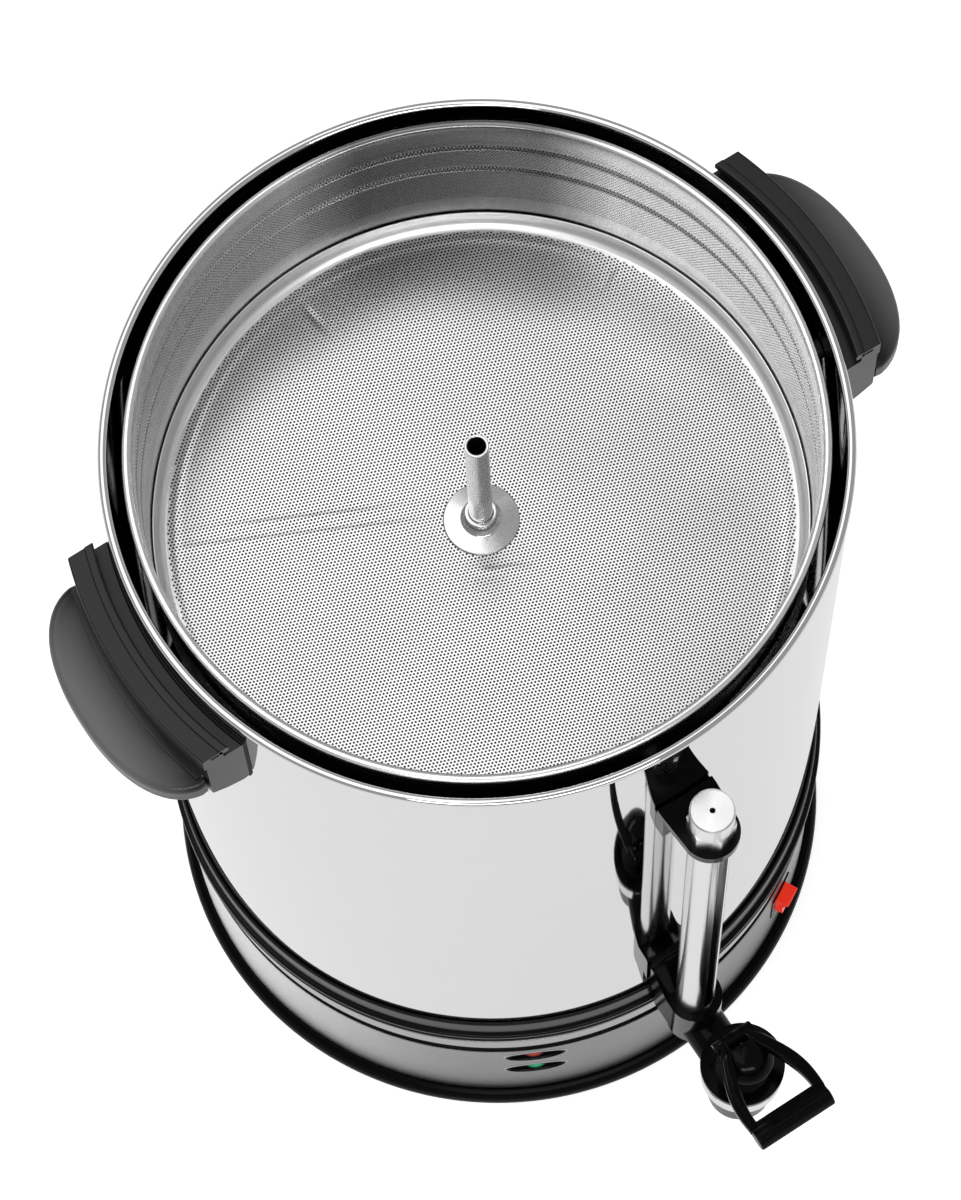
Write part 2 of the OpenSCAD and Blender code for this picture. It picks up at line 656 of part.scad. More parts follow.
// A handle for the +X side: upright wall with an inward lip, low pad, hollow grip
module handle() difference() {
    union() {
        intersection() {
            rotate_extrude() polygon([
                [handle_back, handle_low - 6], [handle_back, pad_top], [handle_in, pad_top],
                [handle_in, pad_top + 3.2], [handle_in - 2.2, pad_top + 3.2], [handle_in - 2.2, handle_top],
                [handle_in - 1.4, handle_top + 0.8], [handle_in + 0.4, handle_top + 0.8],
                [handle_in + 1, handle_top], [handle_out - 0.6, handle_top],
                [handle_out, handle_top - 0.6], [handle_out, handle_low]]);
            translate([0, -handle_len / 2, handle_low - 10])
                cube([2 * tank_r, handle_len, handle_wall_h + 20]);
        }
        translate([0, 0, grip_top - grip_h]) lofted(grip_layers);
    }
    translate([0, 0, grip_top - grip_h - 5]) linear_extrude(grip_h - grip_wall + 5) intersection() {
        polygon(grip_outline(grip_wall + 1));
        translate([handle_out - 3, -tank_r]) square([tank_r, 2 * tank_r]);
    }
    for (a = [-screw_angle, screw_angle])
        radial_rod(a, screw_z, screw_d / 2, handle_back - through, handle_out - 2);
}

// The grip's rounded edge: [height above its underside, how far the outline is drawn in]
grip_layers = [[0, 2.6], [1.2, 1.0], [3.2, 0], [grip_h - 5, 0], [grip_h - 1.8, 1.0], [grip_h, 3.4]];
grip_full = 0.89;

// The D-shaped plan of the grip, drawn in by an inset
function grip_outline(inset) = let (long = handle_len / 2 - inset, deep = grip_out - grip_mid - inset) concat(
    [[grip_mid + 1, -long + 0.5]],
    [for (a = [-84 : 7 : 84])
        [grip_mid + deep * pow(cos(a), grip_full), long * sign(a) * pow(abs(sin(a)), grip_full)]],
    [[grip_mid + 1, long - 0.5]]);

// A solid through a stack of grip outlines
module lofted(layers) {
    n = len(grip_outline(0));
    top = len(layers) - 1;
    corners = [for (layer = layers, p = grip_outline(layer[1])) [p[0], p[1], layer[0]]];
    walls = [for (k = [0 : top - 1], i = [0 : n - 1])
        let (j = (i + 1) % n) [k * n + j, k * n + i, (k + 1) * n + i, (k + 1) * n + j]];
    polyhedron(points = corners, faces = concat([[for (i = [0 : n - 1]) i]], walls,
        [[for (i = [n - 1 : -1 : 0]) top * n + i]]), convexity = 4);
}

module right_handle() color([0.13, 0.13, 0.135]) handle();

module left_handle() color([0.13, 0.13, 0.135]) rotate([0, 0, 180]) handle();

module handle_gaskets() color([0.03, 0.03, 0.03]) for (side = [0, 180]) rotate([0, 0, side]) difference() {
    intersection() {
        tank_shell(gasket_in, handle_back - 0.05, handle_low - 7, pad_top - handle_low + 6);
        translate([0, -handle_len / 2 - 1.5, handle_low - 10])
            cube([2 * tank_r, handle_len + 3, handle_wall_h + 20]);
    }
    for (a = [-screw_angle, screw_angle]) radial_rod(a, screw_z, screw_d / 2 + fit, tank_r - 5, tank_r + 5);
}

module handle_screws() color([0.82, 0.82, 0.84]) for (side = [0, 180], a = [-screw_angle, screw_angle]) {
    radial_rod(side + a, screw_z, screw_d / 2 - run, tank_in - 0.2, handle_out - 3);
    radial_rod(side + a, screw_z, screw_d, tank_in - 2.6, tank_in - 0.2);
}

// ---- tap ----

module tap_body() color([0.03, 0.03, 0.035]) difference() {
    union() {
        difference() {
            translate([-block_w / 2, 0, 0]) rotate([90, 0, 90]) linear_extrude(block_w) polygon([
                [-tank_r + 5, collar_top + 1], [-tank_r - 4.6, collar_top + 1],
                [-tank_r - 4.6, barrel_z - barrel_r + 3], [gauge_y, barrel_z - barrel_r + 3],
                [gauge_y, socket_top], [gauge_y + 4.5, socket_top], [-tank_r - 2.5, socket_top + 14],
                [-tank_r + 5, socket_top + 14]]);
            post(tank_r + seal_t, collar_top, 2 * socket_rise + 14);
        }
        translate([0, gauge_y, 0]) post(socket_r, barrel_z - barrel_r, socket_top - barrel_z + barrel_r);
        front_rod(barrel_z, barrel_r, tank_r + 6, tank_r + valve_reach);
        translate([0, valve_y, 0]) {
            post(chamber_r, chamber_low, neck_z - chamber_low);
            post(neck_r, neck_z, neck_h);
        }
        front_rod(port_z, shank_r, tank_r - 18, tank_r + 5);
    }
    front_rod(port_z, port_r, tank_r - 20, tank_r + gauge_reach - 8);
    translate([0, gauge_y + 8, barrel_z]) cylinder(r = 2.8, h = port_z - barrel_z);
    front_rod(barrel_z, 3.5, tank_r + gauge_reach - 8, tank_r + valve_reach);
    translate([0, gauge_y, 0]) {
        post(port_r, barrel_z, 40);
        post(seal_r + fit, glass_seat, 40);
        post(shield_r + fit, shield_seat, 40);
    }
    translate([0, valve_y, 0]) {
        post(valve_bore_r, seat_z + 3, 40);
        post(seat_r, chamber_low, 40);
        post(disc_bore_r, chamber_low - through, seat_z - chamber_low + through);
    }
}

module tap_seals() color([0.75, 0.74, 0.7]) {
    difference() {
        front_rod(port_z, seal_ring_r, tank_r + 0.05, tank_r + seal_t - 0.3);
        front_rod(port_z, shank_r + fit, tank_r - 1, tank_r + 4);
    }
    difference() {
        front_rod(port_z, seal_ring_r, tank_in - 2.6, tank_in - 0.3);
        front_rod(port_z, shank_r + fit, tank_in - 4, tank_in + 1);
    }
}

module tap_nut() color([0.8, 0.8, 0.82]) difference() {
    rotate([0, 0, -90]) translate([tank_r - 9.7, 0, port_z]) rotate([0, 90, 0])
        cylinder(d = 17, h = 6, $fn = 6);
    front_rod(port_z, shank_r + run, tank_r - 20, tank_r);
}

module nozzle() color([0.03, 0.03, 0.035]) translate([0, valve_y, 0]) difference() {
    union() {
        post(disc_bore_r - fit, chamber_low - fit, 1.5);
        post(outlet_r + 5, chamber_low - 3 - fit, 3);
        post(outlet_r + 2.5, chamber_low - nozzle_len, nozzle_len - 3);
    }
    post(outlet_r, chamber_low - nozzle_len - through, nozzle_len + 5);
}

module bonnet_nut() color([0.85, 0.85, 0.86]) translate([0, valve_y, 0]) difference() {
    post(bonnet_r - 0.3, neck_z + 0.05, nut_h);
    post(neck_r + fit, neck_z - through, nut_h + 3);
    for (i = [0 : 7]) rotate([0, 0, 45 * i + 12]) translate([bonnet_r - 2.6, -2, neck_z + nut_h - 3])
        cube([4, 4, 1.2]);
}

module bonnet() color([0.02, 0.02, 0.025]) translate([0, valve_y, 0]) difference() {
    union() {
        post(bonnet_r, bonnet_z, bonnet_t);
        post(valve_bore_r - fit, bonnet_z - 6, 6.5);
        translate([0, 0, bonnet_z + bonnet_t - 0.1]) cylinder(r1 = dome_r, r2 = dome_low_r, h = dome_h + 0.1);
        translate([-lug_w / 2, pivot_arm - lug_r, bonnet_z + bonnet_t - 0.5])
            cube([lug_w, 2 * lug_r, pivot_z - bonnet_z - bonnet_t + 0.5]);
        translate([-lug_w / 2, pivot_arm, pivot_z]) rotate([0, 90, 0]) cylinder(r = lug_r, h = lug_w);
    }
    post(pocket_r, spring_z, 40);
    post(stem_r + run, bonnet_z - 10, 40);
    translate([-lug_w, pivot_arm, pivot_z]) rotate([0, 90, 0]) cylinder(r = pin_d / 2 + run, h = 2 * lug_w);
}

// Half of the lever plate's outline: [distance out from the pivot, half width]
lever_edge = [[-1.5, 6.6], [0.2, 7.6], [5.6, 9.6], [10.6, 12.3], [17.6, lever_w / 2 - 1.9],
    [27, lever_w / 2 + 0.3], [36, lever_w / 2 + 0.6], [lever_len - 3.4, lever_w / 2]];
// Half of the opening in it, from the hub's rim outwards
lever_open = [[19.6, 0], [19.4, 3], [18.8, 6], [18, 8], [17.6, 9.2], [18.3, 9.9], [21, 10.5], [25.6, 11.6],
    [lever_len - bar_w, 12.7]];
// Section of the finger bar: [distance out, height above the middle of the plate]
bar_shape = [[lever_len - bar_w, 2.5], [lever_len - 6.5, 2.6], [lever_len - 4.2, 2.9], [lever_len - 2.8, 2.8],
    [lever_len - 1.2, 1.3], [lever_len - 0.2, -1], [lever_len, -2.2], [lever_len - 0.4, -3.6],
    [lever_len - 1.8, -5], [lever_len - 4, -5.5], [lever_len - 6, -5.1], [lever_len - 8, -3.8],
    [lever_len - bar_w, -2.5]];

// The area inside half an outline and its mirror image
module both_sides(half) {
    n = len(half);
    polygon(concat(half, [for (i = [n - 1 : -1 : 0]) [half[i][0], -half[i][1]]]));
}

module lever() color([0.02, 0.02, 0.025]) translate([0, pivot_y, pivot_z]) difference() {
    union() {
        rotate([-lever_rise, 0, 0]) translate([0, 0, plate_up - lever_t]) rotate([0, 0, -90])
            linear_extrude(lever_t) difference() {
                both_sides(lever_edge);
                both_sides(lever_open);
            }
        rotate([-lever_rise, 0, 0]) translate([-lever_w / 2 + 0.2, 0, plate_up - lever_t / 2])
            rotate([90, 0, 90]) linear_extrude(lever_w - 0.4) polygon([for (p = bar_shape) [-p[0], p[1]]]);
        translate([-cheek_w / 2, 0, 0]) rotate([0, 90, 0]) cylinder(r = lug_r, h = cheek_w);
        translate([0, -pivot_arm, 0]) post(hub_r, -hub_low, hub_low + 4);
    }
    translate([0, -pivot_arm, 0]) post(hub_in, -20, 20 - web_drop);
    translate([-lug_w / 2 - rest_gap, -lug_r - 1.1, -14]) cube([lug_w + 2 * rest_gap, 20, 26]);
    translate([-cheek_w, 0, 0]) rotate([0, 90, 0]) cylinder(r = pin_d / 2, h = 2 * cheek_w);
}

module lever_pin() color([0.8, 0.8, 0.82]) translate([-cheek_w / 2 + 0.3, pivot_y, pivot_z])
    rotate([0, 90, 0]) cylinder(r = pin_d / 2 - 0.01, h = cheek_w - 0.6);

module valve_stem() color([0.8, 0.8, 0.82]) translate([0, valve_y, 0]) {
    post(stem_r, disc_top - disc_t - 2.6, head_z - disc_top + disc_t + 2.6);
    post(spring_r + 0.6, spring_top, collar_t);
    rotate_extrude() translate([0, head_z]) intersection() {
        circle(r = head_r);
        translate([0, -1]) square([5, 6]);
    }
    ring(stem_r - 0.5, stem_r + 1.4, disc_top - disc_t - 2.6, 2.4);
}

module seal_disc() color([0.85, 0.84, 0.8]) translate([0, valve_y, 0])
    ring(stem_r + 0.01, disc_r, disc_top - disc_t, disc_t);

module valve_spring() color([0.7, 0.7, 0.72]) {
    low = spring_z + spring_wire / 2 + 0.05;
    high = spring_top - spring_wire / 2 - 0.05;
    steps = 18 * spring_turns;
    coil = [for (i = [0 : steps]) let (a = 360 * spring_turns * i / steps)
        [spring_r * cos(a), valve_y + spring_r * sin(a), low + (high - low) * i / steps]];
    swept(coil, spring_wire / 2, 8);
}

// ---- sight gauge ----

module gauge_shield() color([0.88, 0.88, 0.9]) translate([0, gauge_y, 0]) difference() {
    ring(shield_r - shield_wall, shield_r, shield_seat + fit, bracket_low - shield_seat - 2 * fit);
    rotate([0, 0, slot_turn]) translate([-slot_w / 2, -shield_r - 3, socket_top + 4])
        cube([slot_w, 8, bracket_low - socket_top - 8]);
}

module sight_glass() color([0.8, 0.9, 0.92, 0.4]) translate([0, gauge_y, 0])
    ring(glass_r - glass_wall, glass_r, glass_seat + 1.2, bracket_top - glass_seat + 3);

module gauge_seals() color([0.12, 0.12, 0.12]) translate([0, gauge_y, 0]) {
    ring(port_r, seal_r, glass_seat, 1.1);
    ring(glass_r + 0.05, seal_r, glass_seat + 1.2, 7);
    ring(glass_r + 0.05, seal_r + 0.3, bracket_low, bracket_t + 2);
}

module gauge_bracket() color([0.03, 0.03, 0.035]) difference() {
    union() {
        difference() {
            translate([0, 0, bracket_low]) linear_extrude(bracket_t) polygon(concat(
                [[-plate_half, -tank_r + 4], [-plate_half, -tank_r - 3]],
                [for (a = [190 : 10 : 350]) [tip_r * cos(a), gauge_y + tip_r * sin(a)]],
                [[plate_half, -tank_r - 3], [plate_half, -tank_r + 4]]));
            post(tank_r + 0.8, bracket_low - wing_h, 2 * wing_h + bracket_t);
        }
        translate([-plate_half, -tank_r - wing_t, bracket_low - wing_h])
            cube([2 * plate_half, 9, wing_h + 1]);
    }
    post(tank_r + 0.1, bracket_low - 2 * wing_h, 3 * wing_h + bracket_t);
    translate([0, gauge_y, bracket_low - through]) cylinder(r = seal_r + 0.4, h = bracket_t + 2 * through);
    front_rod(bracket_low - screw_drop, 1.6, tank_r - 5, tank_r + wing_t + 0.2);
}

module bracket_screw() color([0.82, 0.82, 0.84]) {
    front_rod(bracket_low - screw_drop, 1.55, tank_in - 0.2, tank_r + 3.6);
    front_rod(bracket_low - screw_drop, 3.6, tank_in - 2.4, tank_in - 0.2);
}

module gauge_cap() color([0.86, 0.86, 0.87]) translate([0, gauge_y, 0]) difference() {
    union() {
        translate([0, 0, bracket_top + fit]) rotate([0, 0, 20])
            cylinder(d = cap_flats / cos(30), h = hex_h, $fn = 6);
        post(cap_r, bracket_top + hex_h, cap_h - hex_h - 0.6);
        translate([0, 0, bracket_top + cap_h - 0.6]) cylinder(r1 = cap_r, r2 = cap_r - 0.6, h = 0.6);
    }
    post(seal_r + 0.4, bracket_top - through, 3 + through);
    post(glass_r + fit, bracket_top, hex_h - 2);
    post(1, bracket_top, cap_h + 5);
}

// ---- riser and filter basket ----

module riser_tube() color([0.85, 0.85, 0.86])
    ring(riser_r - riser_wall, riser_r, bell_z + bell_h + 1, riser_top - bell_z - bell_h - 1);

module riser_bell() color([0.8, 0.8, 0.81]) rotate_extrude() polygon([
    [bell_r - 0.8, bell_z], [bell_r, bell_z], [bell_r, bell_z + 1.5], [riser_r + 6, bell_z + bell_h],
    [riser_r + 1.5, bell_z + bell_neck], [riser_r + 1.5, bell_z + bell_top],
    [riser_r + 0.02, bell_z + bell_top], [riser_r + 0.02, bell_z + bell_h + 0.8],
    [riser_r - riser_wall, bell_z + bell_h + 0.8], [riser_r - riser_wall, bell_z + bell_h - 0.6],
    [bell_r - 0.8, bell_z + 1]]);

module basket_stop() color([0.8, 0.8, 0.81]) {
    ring(riser_r + 0.02, riser_r + 6, stop_z, stop_t);
    ring(riser_r + 0.02, riser_r + 2, stop_z - 6, 6);
}

module basket_wall() color([0.78, 0.79, 0.8]) difference() {
    union() {
        ring(basket_in, basket_r, basket_floor_z - pan_t - 2, basket_depth + pan_t + 2 - basket_bead_d / 2);
        rotate_extrude() translate([basket_r + 1.5, rim_z - basket_bead_d / 2]) circle(d = basket_bead_d);
        for (z = band_z) rotate_extrude() polygon([
            [basket_r - 0.2, z - 2], [basket_r + band_proud, z - 0.5], [basket_r + band_proud, z + 0.5],
            [basket_r - 0.2, z + 2]]);
    }
    for (z = band_z) rotate_extrude() polygon([
        [basket_in - 2, z - 2.4], [basket_in, z - 1.6], [basket_in + band_proud, z - 0.3],
        [basket_in + band_proud, z + 0.3], [basket_in, z + 1.6], [basket_in - 2, z + 2.4]]);
}

module basket_floor() color([0.75, 0.76, 0.77]) rotate_extrude() polygon([
    [sleeve_in + 1.2, basket_floor_z - pan_t], [pan_r - 4, basket_floor_z - pan_t],
    [pan_r - 1.6, basket_floor_z + 1], [pan_r - 0.2, basket_floor_z + 4], [pan_r, basket_floor_z + pan_h],
    [pan_r - pan_t, basket_floor_z + pan_h], [pan_r - pan_t - 0.3, basket_floor_z + 4],
    [pan_r - pan_t - 1.8, basket_floor_z + 1.5], [pan_r - pan_t - 4, basket_floor_z],
    [sleeve_in + 1.2, basket_floor_z]]);

module basket_sleeve() color([0.86, 0.86, 0.87]) rotate_extrude() polygon([
    [sleeve_in, basket_floor_z - pan_t - 1.2], [flange_d / 2 - 2, basket_floor_z - pan_t - 1.2],
    [flange_d / 2 - 2, basket_floor_z - pan_t - 0.05], [sleeve_in + 1.15, basket_floor_z - pan_t - 0.05],
    [sleeve_in + 1.15, basket_floor_z + 0.05], [flange_d / 2, basket_floor_z + 0.05],
    [flange_d / 2 - 0.4, basket_floor_z + 0.8], [sleeve_in + 3, basket_floor_z + 1.8],
    [sleeve_in + 1.4, basket_floor_z + 3.4], [sleeve_in + 1.4, basket_floor_z + 8],
    [sleeve_in, basket_floor_z + 8]]);

tank();
base_collar();
trim_ring();
base_skirt();
foot_ring();
base_plate();
anti_slip_pads();
tie_rods();
tie_rod_nuts();
base_screws();
heating_element();
pump_heater();
thermostat();
thermal_fuse();
terminal_block();
wiring();
lamp_bezels();
red_lamp();
green_lamp();
switch_housing();
rocker();
power_inlet();
inlet_pins();
left_handle();
right_handle();
handle_gaskets();
handle_screws();
tap_body();
tap_seals();
tap_nut();
nozzle();
bonnet_nut();
bonnet();
lever();
lever_pin();
valve_stem();
seal_disc();
valve_spring();
gauge_shield();
sight_glass();
gauge_seals();
gauge_bracket();
bracket_screw();
gauge_cap();
riser_tube();
riser_bell();
basket_stop();
basket_wall();
basket_floor();
basket_sleeve();
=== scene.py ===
"""Dressing of the coffee urn: tank, base, handles, tap, sight gauge, riser and filter basket."""

import logging
import math
from dataclasses import dataclass
from enum import Enum
from typing import Iterable, Optional, Sequence, Union

import bmesh
import bpy
import numpy as np
from mathutils import Matrix, Vector


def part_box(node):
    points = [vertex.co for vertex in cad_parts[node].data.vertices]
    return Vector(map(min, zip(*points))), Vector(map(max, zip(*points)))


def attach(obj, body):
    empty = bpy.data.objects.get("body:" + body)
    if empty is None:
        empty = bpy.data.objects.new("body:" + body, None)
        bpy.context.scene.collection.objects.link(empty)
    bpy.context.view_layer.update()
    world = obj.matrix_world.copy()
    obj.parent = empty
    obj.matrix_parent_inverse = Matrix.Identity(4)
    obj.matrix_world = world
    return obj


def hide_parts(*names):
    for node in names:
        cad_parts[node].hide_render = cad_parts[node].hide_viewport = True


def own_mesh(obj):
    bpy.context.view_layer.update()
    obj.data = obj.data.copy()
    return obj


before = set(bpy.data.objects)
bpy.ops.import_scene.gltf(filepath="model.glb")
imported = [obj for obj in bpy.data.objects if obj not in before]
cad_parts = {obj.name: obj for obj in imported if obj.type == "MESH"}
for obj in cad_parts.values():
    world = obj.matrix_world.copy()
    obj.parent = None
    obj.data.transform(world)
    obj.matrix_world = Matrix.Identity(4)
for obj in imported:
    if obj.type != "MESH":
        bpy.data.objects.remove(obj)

Array = np.ndarray
Colour = tuple[float, float, float]
Triple = tuple[float, float, float]
CopyRow = tuple[str, str, str, str, float]
LOG = logging.getLogger("urn")
MM = 0.001


# ---- shapes ----

@dataclass
class Shape:
    """A surface: points (n, 3) in millimetres, and arrays of faces with three or four corners each."""

    points: Array
    faces: list[Array]

    def __add__(self, other: "Shape") -> "Shape":
        """Both surfaces as one."""
        shift = len(self.points)
        return Shape(np.vstack([self.points, other.points]),
                     self.faces + [f + shift for f in other.faces])

    def moved(self, x: float = 0, y: float = 0, z: float = 0) -> "Shape":
        """The surface moved by x, y, z."""
        return Shape(self.points + np.array([x, y, z]), self.faces)

    def turned(self, degrees: float) -> "Shape":
        """The surface turned about the z axis."""
        a = math.radians(degrees)
        turn = np.array([[math.cos(a), math.sin(a), 0], [-math.sin(a), math.cos(a), 0], [0, 0, 1]])
        return Shape(self.points @ turn, self.faces)

    def welded(self, step: float = 1e-4) -> "Shape":
        """Merges points that round to the same multiple of step, and drops edges of no length.

        Args:
            step: the rounding in millimetres.

        Returns:
            The surface with each point once; a face that lost one corner is a triangle.
        """
        _, first, number = np.unique(np.round(self.points / step).astype(np.int64), axis=0,
                                     return_index=True, return_inverse=True)
        number = number.reshape(-1)
        kept: list[Array] = []
        for block in self.faces:
            f = number[block]
            same = f == np.roll(f, -1, axis=1)
            kept.append(f[same.sum(axis=1) == 0])
            if f.shape[1] == 4:
                short = f[same.sum(axis=1) == 1]
                drop = np.argmax(short == np.roll(short, -1, axis=1), axis=1)
                mask = np.arange(4)[None, :] != drop[:, None]
                kept.append(short[mask].reshape(-1, 3))
        return Shape(self.points[first], [f for f in kept if len(f)])

    def outward(self) -> "Shape":
        """Turns the faces of a closed surface over if they enclose a negative volume."""
        volume = 0.0
        for f in self.faces:
            for k in range(1, f.shape[1] - 1):
                a, b, c = (self.points[f[:, i]] for i in (0, k, k + 1))
                volume += float(np.einsum("ij,ij->i", a, np.cross(b, c)).sum())
        return self if volume >= 0 else Shape(self.points, [f[:, ::-1] for f in self.faces])


def grid_faces(rows: int, cols: int, wrap_rows: bool, wrap_cols: bool) -> Array:
    """The quads of a grid of points numbered row by row.

    Args:
        rows: number of rows.
        cols: number of points in a row.
        wrap_rows: join the last row to the first.
        wrap_cols: join the last point of a row to its first.

    Returns:
        Quads (m, 4).
    """
    i = np.arange(rows if wrap_rows else rows - 1)[:, None]
    j = np.arange(cols if wrap_cols else cols - 1)[None, :]
    i2, j2 = (i + 1) % rows, (j + 1) % cols
    return np.stack([i * cols + j, i * cols + j2, i2 * cols + j2, i2 * cols + j], axis=-1).reshape(-1, 4)


def rounded(corners: Sequence[Sequence[float]], radius: Union[float, Array], steps: int = 3,
            closed: bool = True) -> Array:
    """Rounds the corners of an outline.

    Each corner P becomes the quadratic curve (1-t)^2 A + 2t(1-t) P + t^2 B, where A and B lie on the
    two sides of P, at the radius or at 45 % of the side, whichever is less.

    Args:
        corners: points of the outline.
        radius: distance from each corner at which its curve starts.
        steps: pieces in each curve.
        closed: whether the last point joins the first.

    Returns:
        The points of the rounded outline.
    """
    p = np.asarray(corners, float)
    before, after = np.roll(p, 1, axis=0) - p, np.roll(p, -1, axis=0) - p
    l1, l2 = np.linalg.norm(before, axis=1), np.linalg.norm(after, axis=1)
    reach = np.minimum(np.broadcast_to(np.asarray(radius, float), l1.shape), 0.45 * np.minimum(l1, l2))
    if not closed:
        reach = reach.copy()
        reach[[0, -1]] = 0.0
    a = p + before / l1[:, None] * reach[:, None]
    b = p + after / l2[:, None] * reach[:, None]
    t = np.linspace(0, 1, steps + 1)[None, :, None]
    curve = (1 - t) ** 2 * a[:, None] + 2 * t * (1 - t) * p[:, None] + t ** 2 * b[:, None]
    return curve.reshape(-1, p.shape[1])


def arc(cx: float, cy: float, r: float, start: float, end: float, steps: int) -> Array:
    """Points of a circle's arc about (cx, cy), from one angle to another in degrees."""
    a = np.radians(np.linspace(start, end, steps + 1))
    return np.stack([cx + r * np.cos(a), cy + r * np.sin(a)], axis=1)


def lathe(profile: Array, steps: int = 192, centre: tuple[float, float] = (0.0, 0.0)) -> Shape:
    """Turns a closed profile of (radius, height) about an upright axis.

    A point of the profile at radius r and angle a lies at (cx + r cos a, cy + r sin a, z).

    Args:
        profile: points (n, 2).
        steps: number of copies round the axis.
        centre: x and y of the axis.

    Returns:
        A closed surface with its poles merged.
    """
    a = 2 * np.pi * np.arange(steps)[:, None] / steps
    r, z = profile[None, :, 0], profile[None, :, 1]
    points = np.stack([centre[0] + r * np.cos(a), centre[1] + r * np.sin(a), z + 0 * a], axis=-1)
    faces = grid_faces(steps, len(profile), True, True)
    return Shape(points.reshape(-1, 3), [faces]).welded().outward()


def stacked(rings: Array) -> Shape:
    """Joins a stack of closed outlines, and closes its two ends with fans.

    Args:
        rings: points (m, n, 3): m outlines of n points each.

    Returns:
        A closed surface.
    """
    m, n, _ = rings.shape
    points = np.vstack([rings.reshape(-1, 3), rings[0].mean(axis=0)[None], rings[-1].mean(axis=0)[None]])
    j = np.arange(n)
    low = np.stack([np.full(n, m * n), (j + 1) % n, j], axis=1)
    high = np.stack([np.full(n, m * n + 1), (m - 1) * n + j, (m - 1) * n + (j + 1) % n], axis=1)
    return Shape(points, [grid_faces(m, n, False, True), low, high]).welded().outward()


def swept(path: Array, outline: Array, up: Sequence[float] = (0, 0, 1)) -> Shape:
    """Carries a flat outline along a path.

    At each point of the path the outline's first axis is the cross product of the heading and up, and
    its second axis is the cross product of that and the heading.

    Args:
        path: points (m, 3).
        outline: points (n, 2).
        up: a direction that the heading never takes.

    Returns:
        A closed surface.
    """
    heading = np.gradient(path, axis=0)
    heading /= np.linalg.norm(heading, axis=1)[:, None]
    side = np.cross(heading, np.asarray(up, float))
    side /= np.linalg.norm(side, axis=1)[:, None]
    rise = np.cross(side, heading)
    rings = (path[:, None] + outline[None, :, :1] * side[:, None] + outline[None, :, 1:] * rise[:, None])
    return stacked(rings)


def hex_holes(centres: Array, corners: Array, hole: Array, open_here: Array) -> Shape:
    """A sheet of six-sided tiles, each with a six-sided hole in the middle.

    Tile k covers centre_k + corners; where it is open, six quads join its edge to its hole, and
    otherwise two quads fill it.

    Args:
        centres: middles of the tiles (n, 2).
        corners: corners of a tile about its middle (6, 2).
        hole: corners of the hole about the middle (6, 2).
        open_here: whether each tile has a hole (n,).

    Returns:
        The sheet in the plane z = 0.
    """
    n = len(centres)
    outer = (centres[:, None] + corners[None]).reshape(-1, 2)
    inner = (centres[:, None] + hole[None]).reshape(-1, 2)
    points = np.zeros((12 * n, 3))
    points[:6 * n, :2], points[6 * n:, :2] = outer, inner
    base = 6 * np.arange(n)
    j = np.arange(6)
    k = (j + 1) % 6
    ring = np.stack([base[open_here, None] + j, base[open_here, None] + k,
                     6 * n + base[open_here, None] + k, 6 * n + base[open_here, None] + j], axis=-1)
    shut = base[~open_here, None, None] + np.array([[0, 1, 2, 3], [0, 3, 4, 5]])
    used = Shape(points, [ring.reshape(-1, 4), shut.reshape(-1, 4)])
    live = np.unique(np.concatenate([f.ravel() for f in used.faces]))
    renumber = np.zeros(len(points), int)
    renumber[live] = np.arange(len(live))
    return Shape(points[live], [renumber[f] for f in used.faces])


# ---- shader maths ----

class Wire:
    """A value in a shader, which Python arithmetic joins into Math nodes."""

    def __init__(self, bench: "Bench", socket: bpy.types.NodeSocket) -> None:
        """Keeps the bench and the socket."""
        self.bench, self.socket = bench, socket

    def math(self, operation: str, *others: Union["Wire", float]) -> "Wire":
        """This value and others through one Math node."""
        return self.bench.add("ShaderNodeMath", {"operation": operation},
                              dict(enumerate((self, *others))))

    def clamped(self) -> "Wire":
        """This value held between 0 and 1."""
        return self.math("MAXIMUM", 0.0).math("MINIMUM", 1.0)

    def __add__(self, other: Union["Wire", float]) -> "Wire":
        """Sum."""
        return self.math("ADD", other)

    __radd__ = __add__

    def __mul__(self, other: Union["Wire", float]) -> "Wire":
        """Product."""
        return self.math("MULTIPLY", other)

    __rmul__ = __mul__

    def __sub__(self, other: Union["Wire", float]) -> "Wire":
        """Difference."""
        return self.math("SUBTRACT", other)

    def __rsub__(self, other: float) -> "Wire":
        """Difference from a number."""
        return self * -1.0 + other

    def __truediv__(self, other: Union["Wire", float]) -> "Wire":
        """Quotient."""
        return self.math("DIVIDE", other)

    def __pow__(self, other: float) -> "Wire":
        """Power."""
        return self.math("POWER", other)


